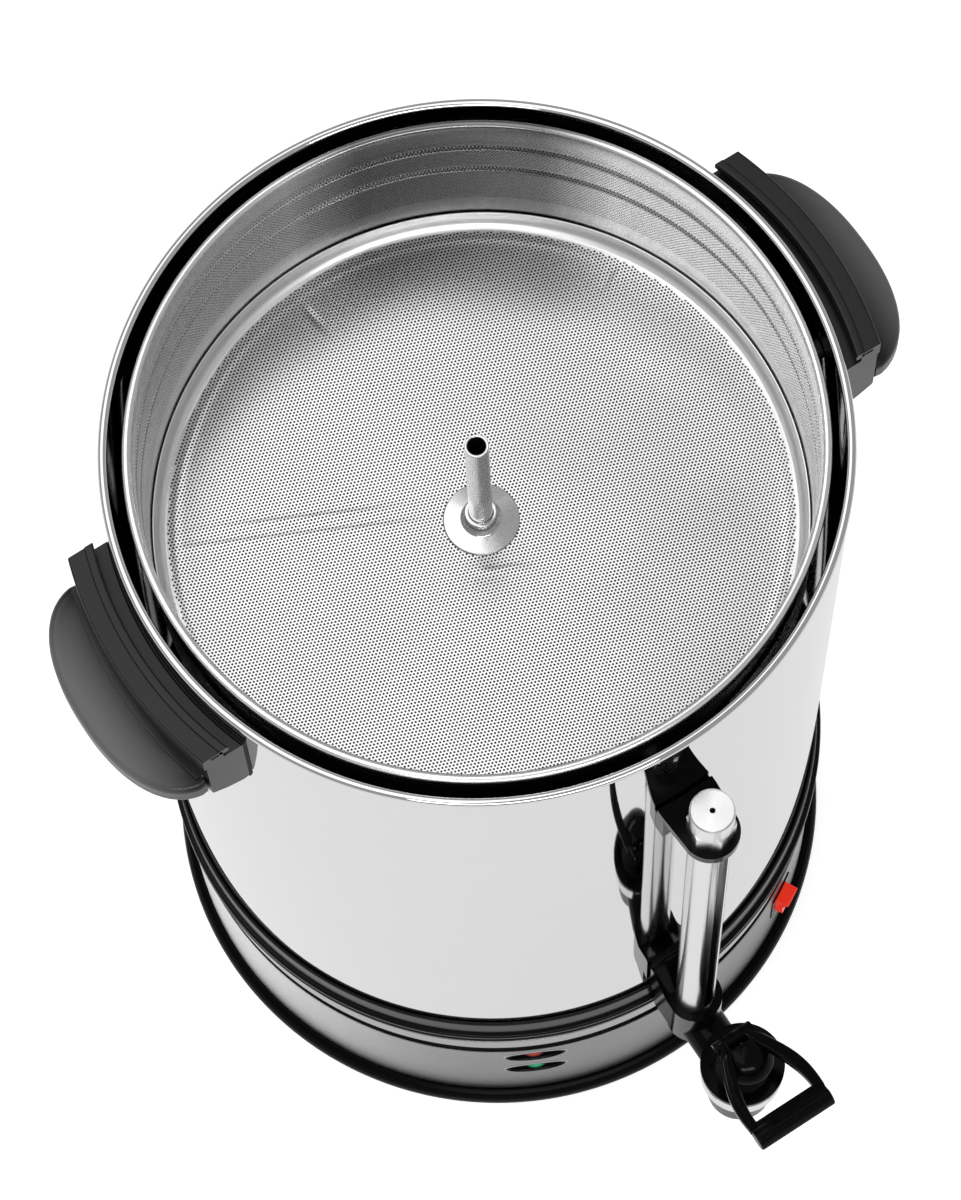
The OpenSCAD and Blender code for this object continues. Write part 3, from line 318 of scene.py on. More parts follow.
class Bench:
    """The node tree of a material or a world under construction."""

    def __init__(self, owner: Union[bpy.types.Material, bpy.types.World]) -> None:
        """Empties the owner's node tree."""
        owner.use_nodes = True
        self.owner, self.tree = owner, owner.node_tree
        self.tree.nodes.clear()

    def add(self, kind: str, settings: Optional[dict] = None, inputs: Optional[dict] = None,
            out: Union[int, str] = 0) -> Wire:
        """Makes a node.

        Args:
            kind: the node's type.
            settings: its properties, set first.
            inputs: values or wires by socket name or number.
            out: name or number of the output that is returned.

        Returns:
            The chosen output as a wire.
        """
        node = self.tree.nodes.new(kind)
        for key, value in (settings or {}).items():
            setattr(node, key, value)
        for key, value in (inputs or {}).items():
            if isinstance(value, Wire):
                self.tree.links.new(value.socket, node.inputs[key])
            else:
                node.inputs[key].default_value = value
        return Wire(self, node.outputs[out] if len(node.outputs) else None)

    def point(self, scale: Sequence[float] = (1, 1, 1), centre: Sequence[float] = (0, 0, 0)) -> Wire:
        """The object's own coordinates about a centre, scaled along each axis."""
        place = self.add("ShaderNodeTexCoord", out="Object")
        return self.add("ShaderNodeMapping", {"vector_type": "POINT"}, {
            "Vector": place, "Location": [-c * s for c, s in zip(centre, scale)], "Scale": scale})

    def noise(self, vector: Wire, scale: float, detail: float = 2.0, rough: float = 0.5) -> Wire:
        """Noise between 0 and 1."""
        return self.add("ShaderNodeTexNoise", {"noise_dimensions": "3D"},
                        {"Vector": vector, "Scale": scale, "Detail": detail, "Roughness": rough})

    def blend(self, factor: Wire, a: Union[Wire, Colour], b: Union[Wire, Colour]) -> Wire:
        """A colour between a and b."""
        ends = {number: end if isinstance(end, Wire) else (*end, 1) for number, end in ((6, a), (7, b))}
        return self.add("ShaderNodeMix", {"data_type": "RGBA"}, {0: factor, **ends}, 2)

    def part(self, vector: Wire, axis: str) -> Wire:
        """One component of a vector."""
        return self.add("ShaderNodeSeparateXYZ", inputs={0: vector}, out=axis)

    def length(self, vector: Wire) -> Wire:
        """Length of a vector."""
        return self.add("ShaderNodeVectorMath", {"operation": "LENGTH"}, {0: vector}, "Value")

    def ring_distance(self, vector: Wire) -> Wire:
        """Distance from the z axis of a vector."""
        return self.length(self.add("ShaderNodeVectorMath", {"operation": "MULTIPLY"},
                                    {0: vector, 1: (1, 1, 0)}))

    def finish(self, shader: Wire) -> Union[bpy.types.Material, bpy.types.World]:
        """Joins the shader to the output and returns the owner."""
        kind = "World" if isinstance(self.owner, bpy.types.World) else "Material"
        self.add("ShaderNodeOutput" + kind, inputs={"Surface": shader})
        return self.owner


class Grain(Enum):
    """How the fine texture of a finish runs."""

    MOULDED = "even speckle of a moulding"
    POLISHED = "faint smears on a mirror"
    HOOPED = "fine lines round the urn's axis"
    TURNED = "rings about the piece's own axis"
    CAST = "coarse pits"
    CLEAR = "clear, with faint waves"


@dataclass(frozen=True)
class Finish:
    """One procedural finish, named after the record's slot it stands for.

    Spread is how far the roughness varies, tint how far the colour does, relief the depth of the
    grain and size the width of its cells in millimetres. Shine is the light it gives off by itself.
    """

    slot: str
    colour: Colour
    grain: Grain = Grain.MOULDED
    metallic: float = 0.0
    roughness: float = 0.4
    spread: float = 0.08
    tint: float = 0.1
    relief: float = 0.1
    size: float = 0.6
    clear: float = 0.0
    ior: float = 1.5
    centre: Triple = (0.0, 0.0, 0.0)
    shine: Colour = (0.0, 0.0, 0.0)

    def paint(self, bench: Bench, colour: Wire) -> Wire:
        """The base colour with the finish's own pattern; a plain finish has none."""
        return colour

    def lit(self, bench: Bench) -> Union[Wire, tuple[float, ...]]:
        """The light that the finish gives off by itself."""
        return (*self.shine, 1.0)

    def height(self, bench: Bench) -> tuple[Wire, Wire]:
        """The relief and the slow variation of the finish.

        The relief is noise whose cells are as long along each axis as the grain asks, or sine rings of
        the distance from the piece's axis.

        Args:
            bench: the material under construction.

        Returns:
            Relief and slow variation, both between 0 and 1.
        """
        per_mm = 1000.0 / self.size
        broad = bench.noise(bench.point(), 22.0, 3.0, 0.55)
        if self.grain is Grain.HOOPED:
            return bench.noise(bench.point((0.012, 0.012, 1)), per_mm, 3.0, 0.7), broad
        if self.grain is Grain.TURNED:
            away = bench.ring_distance(bench.point(centre=self.centre))
            rings = (away * (per_mm * 2 * math.pi)).math("SINE") * 0.5 + 0.5
            return rings * 0.6 + bench.noise(bench.point(), per_mm * 0.4) * 0.4, broad
        if self.grain is Grain.CAST:
            return bench.noise(bench.point(), per_mm * 0.5, 5.0, 0.7), broad
        if self.grain in (Grain.POLISHED, Grain.CLEAR):
            return bench.noise(bench.point((1, 1, 0.4)), 9.0, 2.0, 0.4), broad
        return bench.noise(bench.point(), per_mm, 2.0, 0.6), broad

    def material(self) -> bpy.types.Material:
        """The finish as a material, made once."""
        known = bpy.data.materials.get("finish_" + self.slot)
        if known is not None:
            return known
        bench = Bench(bpy.data.materials.new("finish_" + self.slot))
        relief, broad = self.height(bench)
        dark = tuple(c * (1 - self.tint) for c in self.colour)
        bright = tuple(min(1.0, c * (1 + self.tint)) for c in self.colour)
        normal = bench.add("ShaderNodeBump", inputs={
            "Strength": self.relief, "Distance": self.size * MM, "Height": relief})
        rough = relief * self.spread + broad * self.spread + (self.roughness - self.spread)
        colour = self.paint(bench, bench.blend(broad, dark, bright))
        shader = bench.add("ShaderNodeBsdfPrincipled", inputs={
            "Base Color": colour, "Metallic": self.metallic,
            "Roughness": rough.math("MAXIMUM", 0.015), "IOR": self.ior,
            "Transmission Weight": self.clear, "Emission Color": self.lit(bench),
            "Emission Strength": 1.0, "Normal": normal})
        return bench.finish(shader)


@dataclass(frozen=True)
class ShadedInsideFinish(Finish):
    """A metal painted darker inside a radius and below a height: painted shade on a vessel's inner side."""

    inner: Colour = (0.5, 0.5, 0.5)
    radius: float = 129.65
    below: float = 415.6

    def paint(self, bench: Bench, colour: Wire) -> Wire:
        """The inner colour, a painted shade, where the distance from the axis and the height are under their
        limits.
        """
        place = bench.point()
        inside = bench.ring_distance(place).math("LESS_THAN", self.radius * MM)
        low = bench.part(place, "Z").math("LESS_THAN", self.below * MM)
        return bench.blend(inside * low, colour, self.inner)


@dataclass(frozen=True)
class SectorReflectionFinish(Finish):
    """A hooped metal with a painted reflection: its colour is lighter at two opposite sides."""

    light: Colour = (0.88, 0.88, 0.88)
    power: float = 6.0

    def paint(self, bench: Bench, colour: Wire) -> Wire:
        """The light colour of the painted reflection, mixed in by |x / r| to a power."""
        place = bench.point()
        share = (bench.part(place, "X") / bench.ring_distance(place)).math("ABSOLUTE")
        return bench.blend(share ** self.power, colour, self.light)


@dataclass(frozen=True)
class SpotFinish(Finish):
    """A smoked moulding that glows round one point: in a lens this is the lamp's own light, and on the black
    surround round a lamp it is painted light from that lamp.
    """

    glow: Colour = (0.8, 0.05, 0.02)
    spot: Triple = (0.0, 0.0, 0.0)
    reach: float = 4.9
    gain: float = 2.5

    def lit(self, bench: Bench) -> Wire:
        """The glow times gain (1 - (distance from the spot / reach)^2), held between 0 and 1."""
        away = bench.length(bench.point(centre=tuple(v * MM for v in self.spot)))
        near = (1.0 - (away / (self.reach * MM)) ** 2) * self.gain
        return bench.blend(near.clamped(), (0.0, 0.0, 0.0), self.glow)


@dataclass(frozen=True)
class ShadedSideFinish(Finish):
    """A metal sheet painted darker on one side: painted shade."""

    painted_shade: Colour = (0.21, 0.21, 0.21)
    azimuth: float = 62.0
    start: float = 0.87
    width: float = 0.09

    def paint(self, bench: Bench, colour: Wire) -> Wire:
        """The painted shade, mixed in by (cosine of the angle from the azimuth - start) / width."""
        place = bench.point()
        a = math.radians(self.azimuth)
        cosine = (bench.part(place, "X") * math.cos(a)
                  + bench.part(place, "Y") * math.sin(a)) / bench.ring_distance(place)
        return bench.blend(((cosine - self.start) / self.width).clamped(), colour, self.painted_shade)


@dataclass(frozen=True)
class CrownSheenFinish(Finish):
    """A moulding painted a little lighter on its upper, outer side: a painted highlight on the grips' crowns.
    """

    painted_sheen: Colour = (0.13, 0.13, 0.131)
    start: float = 143.0
    width: float = 16.0
    above: float = 380.0
    fade: float = 6.0
    below: float = 392.0

    def paint(self, bench: Bench, colour: Wire) -> Wire:
        """The highlight colour, mixed in by (|x| - start) / width and (z - above) / fade, up to a height."""
        place = bench.point()
        share = (bench.part(place, "X").math("ABSOLUTE") - self.start * MM) / (self.width * MM)
        rise = (bench.part(place, "Z") - self.above * MM) / (self.fade * MM)
        top = bench.part(place, "Z").math("LESS_THAN", self.below * MM)
        return bench.blend(share.clamped() * rise.clamped() * top, colour, self.painted_sheen)


@dataclass(frozen=True)
class DottedFinish(Finish):
    """A plain metal sheet painted with dark dots in a pattern of round holes, laid round the urn's axis; the
    dots are painted shade that stands for holes.
    """

    pitch: float = 1.351
    hole: float = 0.41
    around: float = 118.4
    flat: bool = False
    dark: Colour = (0.01, 0.01, 0.01)

    def paint(self, bench: Bench, colour: Wire) -> Wire:
        """Dark dots of painted shade on two interleaved rectangular grids, which together are a triangular
        one.

        A point's place on a grid is the fraction of (angle * radius / pitch, height / row pair), or on
        a flat sheet of (x / pitch, y / row pair). It is dark where its distance from the middle of the
        cell is under the hole's radius.
        """
        place = bench.point()
        if self.flat:
            along = bench.part(place, "X") * (1000.0 / self.pitch)
            rise = bench.part(place, "Y")
        else:
            angle = bench.part(place, "Y").math("ARCTAN2", bench.part(place, "X"))
            along = angle * (self.around / self.pitch)
            rise = bench.part(place, "Z")
        up = rise * (1000.0 / (self.pitch * math.sqrt(3)))
        dots = []
        for shift in (0.0, 0.5):
            u = (along + shift).math("FRACT") - 0.5
            v = ((up + shift).math("FRACT") - 0.5) * math.sqrt(3)
            dots.append((u * u + v * v).math("LESS_THAN", (self.hole / self.pitch) ** 2))
        return bench.blend(dots[0].math("MAXIMUM", dots[1]), colour, self.dark)


GAUGE_AXIS = (0.0, -0.1465, 0.0)
STEEL = dict(metallic=1.0)
SMOKED = dict(roughness=0.1, size=0.4, ior=1.3)
FINISHES: dict[str, Finish] = {f.slot: f for f in (
    # the tank's inner side takes a darker grey: painted shade inside the tank
    ShadedInsideFinish("mirror_steel", (0.745, 0.748, 0.75), Grain.POLISHED, roughness=0.03, spread=0.015,
                tint=0.015, relief=0.02, size=4.0, **STEEL),
    Finish("black_plastic", (0.003, 0.003, 0.003), roughness=0.16, spread=0.05, relief=0.04, size=0.3,
           ior=1.22),
    Finish("trim_chrome", (0.30, 0.30, 0.30), Grain.HOOPED, roughness=0.18, spread=0.05, relief=0.05,
           size=0.3, **STEEL),
    # the skirt's lighter sides are a painted reflection
    SectorReflectionFinish("satin_skirt", (0.20, 0.20, 0.20), Grain.HOOPED, roughness=0.30, spread=0.1,
                 tint=0.08, relief=0.12, size=0.25, **STEEL),
    Finish("foot_plastic", (0.002, 0.002, 0.002), roughness=0.26, relief=0.1, size=0.5, ior=1.12),
    Finish("zinc_sheet", (0.55, 0.56, 0.58), Grain.CAST, roughness=0.42, spread=0.15, tint=0.15,
           size=1.5, **STEEL),
    Finish("pad_rubber", (0.02, 0.02, 0.02), roughness=0.75, relief=0.3, size=0.4),
    Finish("zinc_rod", (0.55, 0.55, 0.56), Grain.CAST, roughness=0.35, spread=0.12, **STEEL),
    Finish("element_sheath", (0.30, 0.29, 0.28), Grain.CAST, roughness=0.5, spread=0.15, tint=0.2,
           size=0.8, **STEEL),
    Finish("cast_heater", (0.45, 0.45, 0.46), Grain.CAST, roughness=0.55, spread=0.15, relief=0.4,
           size=0.9, **STEEL),
    Finish("ceramic_white", (0.70, 0.68, 0.62), Grain.CAST, roughness=0.5, tint=0.05, size=0.4),
    Finish("terminal_plastic", (0.62, 0.60, 0.54), roughness=0.5, tint=0.05, size=0.4),
    Finish("lead_insulation", (0.40, 0.05, 0.035), roughness=0.5, size=0.5),
    SpotFinish("red_lens", (0.006, 0.003, 0.003), Grain.CLEAR, glow=(0.55, 0.08, 0.06),
               spot=(-57.5, -116.5, 63.9), **SMOKED),
    SpotFinish("green_lens", (0.003, 0.006, 0.005), Grain.CLEAR, glow=(0.07, 0.42, 0.22),
               spot=(-57.5, -116.5, 44.1), **SMOKED),
    Finish("red_rocker", (0.80, 0.022, 0.008), roughness=0.28, tint=0.05, relief=0.06, size=0.3,
           ior=1.25, shine=(0.40, 0.018, 0.008)),
    Finish("pin_brass", (0.72, 0.58, 0.30), Grain.CAST, roughness=0.25, size=0.5, **STEEL),
    # the grips' lighter crowns are a painted highlight
    CrownSheenFinish("handle_plastic", (0.008, 0.008, 0.008), roughness=0.30, spread=0.08, tint=0.15,
                relief=0.12, size=0.45, ior=1.4),
    Finish("gasket_rubber", (0.008, 0.008, 0.008), roughness=0.6, relief=0.2, size=0.4, ior=1.3),
    Finish("screw_steel", (0.60, 0.60, 0.62), Grain.CAST, roughness=0.25, size=0.5, **STEEL),
    Finish("tap_plastic", (0.002, 0.002, 0.002), roughness=0.12, spread=0.03, relief=0.03, size=0.8,
           ior=1.18),
    Finish("seal_silicone", (0.55, 0.54, 0.50), roughness=0.5, tint=0.05, size=0.4),
    Finish("nut_chrome", (0.76, 0.765, 0.77), Grain.POLISHED, roughness=0.08, spread=0.04, tint=0.04,
           relief=0.02, size=2.0, **STEEL),
    Finish("gauge_chrome", (0.82, 0.825, 0.83), Grain.POLISHED, roughness=0.16, spread=0.04,
           tint=0.03, relief=0.02, size=2.0, **STEEL),
    Finish("gauge_glass", (0.80, 0.82, 0.82), Grain.CLEAR, roughness=0.04, spread=0.01, tint=0.01,
           relief=0.01, size=2.0, clear=0.25, ior=1.47),
    Finish("cap_steel", (0.86, 0.865, 0.87), Grain.TURNED, roughness=0.22, spread=0.06, tint=0.03,
           relief=0.07, size=0.35, centre=GAUGE_AXIS, **STEEL),
    Finish("riser_steel", (0.74, 0.74, 0.75), Grain.TURNED, roughness=0.16, spread=0.06, tint=0.05,
           relief=0.06, size=0.4, **STEEL),
    # the basket is painted darker round azimuth 62 degrees, at its back: painted shade
    ShadedSideFinish("basket_steel", (0.95, 0.95, 0.95), Grain.POLISHED, roughness=0.26, spread=0.08,
                  tint=0.06, relief=0.1, size=3.0, **STEEL),
)}
SIEVE = Finish("basket_floor_sheet", (0.80, 0.80, 0.80), Grain.POLISHED, roughness=0.28, spread=0.08,
               tint=0.05, relief=0.1, size=3.0, **STEEL)
# the surrounds' glow round each lamp is painted light from the lamp
LIT_CUP = dict(colour=(0.003, 0.003, 0.003), roughness=0.2, relief=0.04, size=0.3, ior=1.22, reach=7.0)
RED_CUP_PAINTED_GLOW = SpotFinish("red_lit_cup", glow=(0.60, 0.10, 0.08), spot=(-55.0, -111.8, 59.6), **LIT_CUP)
GREEN_CUP_PAINTED_GLOW = SpotFinish("green_lit_cup", glow=(0.08, 0.58, 0.26), spot=(-54.5, -112.1, 39.9), **LIT_CUP)
# a near-black sheet put behind holes, where there is only shade: painted shade
SHADE = Finish("basket_shade", (0.006, 0.006, 0.006), roughness=0.7)
OXIDE = Finish("oxide_screws", (0.02, 0.02, 0.021), Grain.CAST, roughness=0.45, size=0.5, ior=1.4)
BRIGHT = Finish("basket_edge", (0.95, 0.95, 0.95), Grain.HOOPED, roughness=0.38, spread=0.06,
                relief=0.03, size=0.3, tint=0.03, **STEEL)
HOLED = dict(colour=(0.66, 0.66, 0.66), grain=Grain.POLISHED, roughness=0.26, spread=0.08, **STEEL)
# the outside and underside sheets carry dots of painted shade where holes would be
DOTTED = DottedFinish("basket_outside", **HOLED)
DOTTED_FLAT = DottedFinish("basket_underside", flat=True, **HOLED)


# ---- making pieces ----

def write_mesh(name: str, shape: Shape) -> bpy.types.Mesh:
    """Puts a surface into a mesh, in metres, as whole arrays.

    Args:
        name: the mesh's name.
        shape: the surface.

    Returns:
        The mesh, shaded smooth.
    """
    mesh = bpy.data.meshes.new(name)
    sizes = np.concatenate([np.full(len(f), f.shape[1]) for f in shape.faces])
    corners = np.concatenate([f.ravel() for f in shape.faces])
    mesh.vertices.add(len(shape.points))
    mesh.vertices.foreach_set("co", (shape.points * MM).astype(np.float32).ravel())
    mesh.loops.add(len(corners))
    mesh.loops.foreach_set("vertex_index", corners.astype(np.int32))
    mesh.polygons.add(len(sizes))
    mesh.polygons.foreach_set("loop_start", np.concatenate([[0], np.cumsum(sizes)[:-1]]).astype(np.int32))
    mesh.polygons.foreach_set("use_smooth", np.ones(len(sizes), bool))
    mesh.update(calc_edges=True)
    mesh.validate()
    return mesh


def finish_piece(obj: bpy.types.Object, body: str, slot: str, replaces: Iterable[str] = (),
                 finish: Optional[Finish] = None) -> bpy.types.Object:
    """Gives a piece its body and its material, the slot's own unless another finish is given, and reports it.

    Args:
        obj: the piece.
        body: the body it rides on.
        slot: the record's slot it belongs to.
        replaces: the nodes it stands for.
        finish: its finish, or None for the slot's own.

    Returns:
        The same piece.
    """
    obj.data.materials.clear()
    obj.data.materials.append((finish or FINISHES[slot]).material())
    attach(obj, body)
    if replaces:
        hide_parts(*replaces)
    LOG.info("%s: %d faces, rides on %s", obj.name, len(obj.data.polygons), body)
    return obj


def make(name: str, shape: Shape, body: str, slot: str, replaces: Iterable[str] = (),
         sharp: float = 40.0, bevel: float = 0.0, finish: Optional[Finish] = None,
         cutters: Sequence[Shape] = ()) -> bpy.types.Object:
    """Makes a piece from a surface.

    Args:
        name: the piece's name.
        shape: its surface in millimetres.
        body: the body it rides on.
        slot: the record's slot it belongs to.
        replaces: the nodes it stands for.
        sharp: edges that bend more than this, in degrees, stay crisp.
        bevel: width in millimetres of a bevel on the crisp edges, or 0.
        finish: its finish, or None for the slot's own.
        cutters: closed surfaces taken out of it.

    Returns:
        The piece.
    """
    obj = bpy.data.objects.new(name, write_mesh(name, shape))
    bpy.context.scene.collection.objects.link(obj)
    if cutters:
        carve(obj, cutters)
    smooth_off(obj, sharp, bevel)
    return finish_piece(obj, body, slot, replaces, finish)


def smooth_off(obj: bpy.types.Object, sharp: float, bevel: float) -> None:
    """Bevels the crisp edges of a piece, or marks them, and weights its normals by area.

    Args:
        obj: the piece.
        sharp: angle in degrees past which an edge is crisp.
        bevel: the bevel's width in millimetres, or 0.
    """
    if bevel > 0:
        edge = obj.modifiers.new("edge", "BEVEL")
        edge.limit_method, edge.angle_limit = "ANGLE", math.radians(sharp)
        edge.width, edge.segments = bevel * MM, 3
        edge.use_clamp_overlap = True
    else:
        obj.data.set_sharp_from_angle(angle=math.radians(sharp))
    weight = obj.modifiers.new("weight", "WEIGHTED_NORMAL")
    weight.keep_sharp = bevel <= 0
    weight.weight = 50


def carve(obj: bpy.types.Object, cutters: Sequence[Shape]) -> None:
    """Takes closed surfaces out of a piece for good.

    Args:
        obj: the piece.
        cutters: the surfaces.
    """
    tools = []
    for number, shape in enumerate(cutters):
        tool = bpy.data.objects.new(f"cutter_{number}", write_mesh("cutter", shape))
        bpy.context.scene.collection.objects.link(tool)
        step = obj.modifiers.new("cut", "BOOLEAN")
        step.operation, step.solver, step.object = "DIFFERENCE", "EXACT", tool
        tools.append(tool)
    graph = bpy.context.evaluated_depsgraph_get()
    mesh = bpy.data.meshes.new_from_object(obj.evaluated_get(graph))
    obj.modifiers.clear()
    obj.data = mesh
    for tool in tools:
        bpy.data.objects.remove(tool)


def node_copy(node: str) -> bpy.types.Mesh:
    """A node's mesh with its doubles merged and its flat faces joined.

    Args:
        node: the node's name.

    Returns:
        A new mesh.
    """
    work = bmesh.new()
    work.from_mesh(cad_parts[node].data)
    bmesh.ops.remove_doubles(work, verts=work.verts, dist=2e-6)
    bmesh.ops.dissolve_limit(work, angle_limit=math.radians(0.6), verts=work.verts, edges=work.edges)
    for face in work.faces:
        face.smooth = True
    mesh = bpy.data.meshes.new(node)
    work.to_mesh(mesh)
    work.free()
    return mesh


def dress_copy(node: str, name: str, body: str, slot: str, bevel: float, sharp: float = 32.0,
               finish: Optional[Finish] = None) -> bpy.types.Object:
    """A softened copy of a node, standing for it.

    Args:
        node: the node's name.
        name: the piece's name.
        body: the body it rides on.
        slot: the record's slot it belongs to.
        bevel: width of its edge rounding in millimetres.
        sharp: angle in degrees past which an edge is rounded.
        finish: its finish, or None for the slot's own.

    Returns:
        The piece.
    """
    obj = bpy.data.objects.new(name, node_copy(node))
    bpy.context.scene.collection.objects.link(obj)
    smooth_off(obj, sharp, bevel)
    return finish_piece(obj, body, slot, [node], finish)


def dress_copies(rows: Iterable[CopyRow]) -> None:
    """Dresses nodes as softened copies, by rows of (node, name, body, slot, edge width)."""
    for row in rows:
        dress_copy(*row)


def paint_node(node: str, slot: str) -> None:
    """Gives a node that is shown as it is its finish.

    Args:
        node: the node's name.
        slot: the slot whose finish it takes.
    """
    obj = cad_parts[node]
    if not obj.material_slots:
        obj.data.materials.append(None)
    for place in obj.material_slots:
        place.material = FINISHES[slot].material()
    LOG.info("%s: shown as built, finish %s", node, slot)


# ---- the room ----

@dataclass
class Studio:
    """Camera, floor, world and soft lamps; lengths are in metres.

    A lamp's row is (name, place, target, its two sides, watts, turn about its own axis in degrees).
    """

    place: Triple = (-0.2716, -0.4794, 1.8294)
    elevation: float = 70.717
    azimuth: float = 29.3
    roll: float = -3.896
    lens: float = 132.33
    world: float = 0.38
    mirrored_floor: float = 0.66
    lift: float = 0.62
    floor_half: float = 3.0
    lamps: tuple[tuple[str, Triple, Triple, tuple[float, float], float, float], ...] = (
        ("ceiling", (-0.76, 0.76, 2.4), (-0.76, 0.76, 0.0), (2.4, 2.4), 21.0, 45.0),
        ("front_strip", (-0.6, -1.5, 1.5), (0.0, 0.0, 0.3), (1.6, 0.3), 14.0, 0.0))

    def camera(self) -> None:
        """The camera, whose axes are its right, up and back directions as the columns of a matrix.

        Back points from the subject to the camera at the elevation above the floor, and right and up
        are level with it, turned by the roll about it. All three are turned by the azimuth.
        """
        e, a, r = (math.radians(v) for v in (self.elevation, self.azimuth, self.roll))
        back = Vector((0, -math.cos(e), math.sin(e)))
        right = Vector((1, 0, 0))
        up = back.cross(right)
        turn = Matrix.Rotation(-a, 3, "Z")
        right, up = (right * math.cos(r) + up * math.sin(r), up * math.cos(r) - right * math.sin(r))
        axes = Matrix((turn @ right, turn @ up, turn @ back)).transposed()
        data = bpy.data.cameras.new("camera")
        data.sensor_width, data.sensor_fit, data.lens = 36.0, "AUTO", self.lens
        data.clip_start, data.clip_end = 0.05, 50.0
        obj = bpy.data.objects.new("camera", data)
        obj.matrix_world = Matrix.Translation(self.place) @ axes.to_4x4()
        bpy.context.scene.collection.objects.link(obj)
        bpy.context.scene.camera = obj

    def sky(self) -> None:
        """A world that is white to the camera, to mirrors and through glass, and softer as a light."""
        bench = Bench(bpy.data.worlds.new("room"))
        camera, through = (bench.add("ShaderNodeLightPath", out=f"Is {kind} Ray")
                           for kind in ("Camera", "Transmission"))
        soft, white = (bench.add("ShaderNodeBackground", inputs={"Color": (1, 1, 1, 1), "Strength": v})
                       for v in (self.world, 1.0))
        bpy.context.scene.world = bench.finish(bench.add(
            "ShaderNodeMixShader", inputs={0: (camera + through).clamped(), 1: soft, 2: white}))

    def floor(self) -> None:
        """A pale floor, brightened to the camera, that keeps the object's shadow."""
        half = self.floor_half / MM
        corners = np.array([[-half, -half, 0], [half, -half, 0], [half, half, 0], [-half, half, 0]])
        obj = bpy.data.objects.new("floor", write_mesh("floor", Shape(corners, [np.array([[0, 1, 2, 3]])])))
        bpy.context.scene.collection.objects.link(obj)
        bench = Bench(bpy.data.materials.new("floor_paper"))
        seen = bench.add("ShaderNodeLightPath", out="Is Camera Ray")
        mirrored = bench.add("ShaderNodeLightPath", out="Is Glossy Ray") * self.mirrored_floor
        fibre = bench.noise(bench.point(), 60.0, 3.0)
        paper = bench.add("ShaderNodeBsdfPrincipled", inputs={
            "Base Color": bench.blend(fibre, (0.86, 0.86, 0.86), (0.9, 0.9, 0.9)), "Roughness": 0.8})
        white = bench.add("ShaderNodeEmission", inputs={"Color": (1, 1, 1, 1), "Strength": 1.0})
        soft = bench.add("ShaderNodeEmission", inputs={"Color": (1, 1, 1, 1), "Strength": self.lift})
        lifted = bench.add("ShaderNodeAddShader", inputs={0: paper, 1: soft})
        mixed = bench.add("ShaderNodeMixShader", inputs={0: mirrored, 1: paper, 2: white})
        whole = bench.add("ShaderNodeMixShader", inputs={0: seen, 1: mixed, 2: lifted})
        obj.data.materials.append(bench.finish(whole))

    def lamp(self, name: str, place: Triple, target: Triple, size: tuple[float, float],
             watts: float, roll: float) -> None:
        """A rectangular soft lamp.

        Args:
            name: its name.
            place: where it hangs, in metres.
            target: the point it faces.
            size: its two sides in metres.
            watts: its power.
            roll: how far it is turned about its own axis, in degrees.
        """
        data = bpy.data.lights.new(name, "AREA")
        data.shape, data.energy = "RECTANGLE", watts
        data.size, data.size_y = size
        obj = bpy.data.objects.new(name, data)
        aim = Vector(target) - Vector(place)
        obj.matrix_world = (Matrix.Translation(place) @ aim.to_track_quat("-Z", "Y").to_matrix().to_4x4()
                            @ Matrix.Rotation(math.radians(roll), 4, "Z"))
        bpy.context.scene.collection.objects.link(obj)

    def build(self) -> None:
        """Sets up the whole room."""
        self.camera()
        self.sky()
        self.floor()
        for row in self.lamps:
            self.lamp(*row)
        bpy.context.scene.view_settings.view_transform = "Standard"


# ---- the urn ----

@dataclass
class Tank:
    """The tank: wall, rolled rim bead, floor and sump, in one sheet."""

    radius: float = 130.0
    wall: float = 0.8
    seat: float = 100.0
    rim: float = 419.0
    bead: float = 1.7
    bead_proud: float = 0.4
    floor: float = 117.0
    sump_radius: float = 35.0
    sump_top: float = 106.0

    def profile(self) -> Array:
        """The tank's section: up the outside, round the bead, down the inside, under the floor."""
        r_in = self.radius - self.wall
        cx, cz = self.radius + self.bead_proud - self.bead, self.rim - self.bead
        start = -math.degrees(math.acos((self.radius - cx) / self.bead))
        end = 360 - math.degrees(math.acos((r_in - cx) / self.bead))
        under = self.floor - self.wall
        inside = [[r_in, self.floor + 4], [r_in - 1.2, self.floor + 1.2], [r_in - 4, self.floor],
                  [self.sump_radius + 3, self.floor], [self.sump_radius, self.floor - 3],
                  [self.sump_radius, self.sump_top + 3], [self.sump_radius - 3, self.sump_top],
                  [0, self.sump_top], [0, self.sump_top - self.wall],
                  [self.sump_radius - 2, self.sump_top - self.wall],
                  [self.sump_radius + self.wall, self.sump_top + 2],
                  [self.sump_radius + self.wall, under - 2], [self.sump_radius + 3, under],
                  [r_in - 3, under], [r_in, under - 3]]
        return np.vstack([[[self.radius, self.seat]], arc(cx, cz, self.bead, start, end, 28),
                          rounded(inside, 1.5, 3, closed=False), [[r_in, self.seat]]])

    def build(self) -> None:
        """Makes the tank."""
        make("tank_shell", lathe(self.profile(), 288), "urn", "mirror_steel", ["tank"], sharp=50)


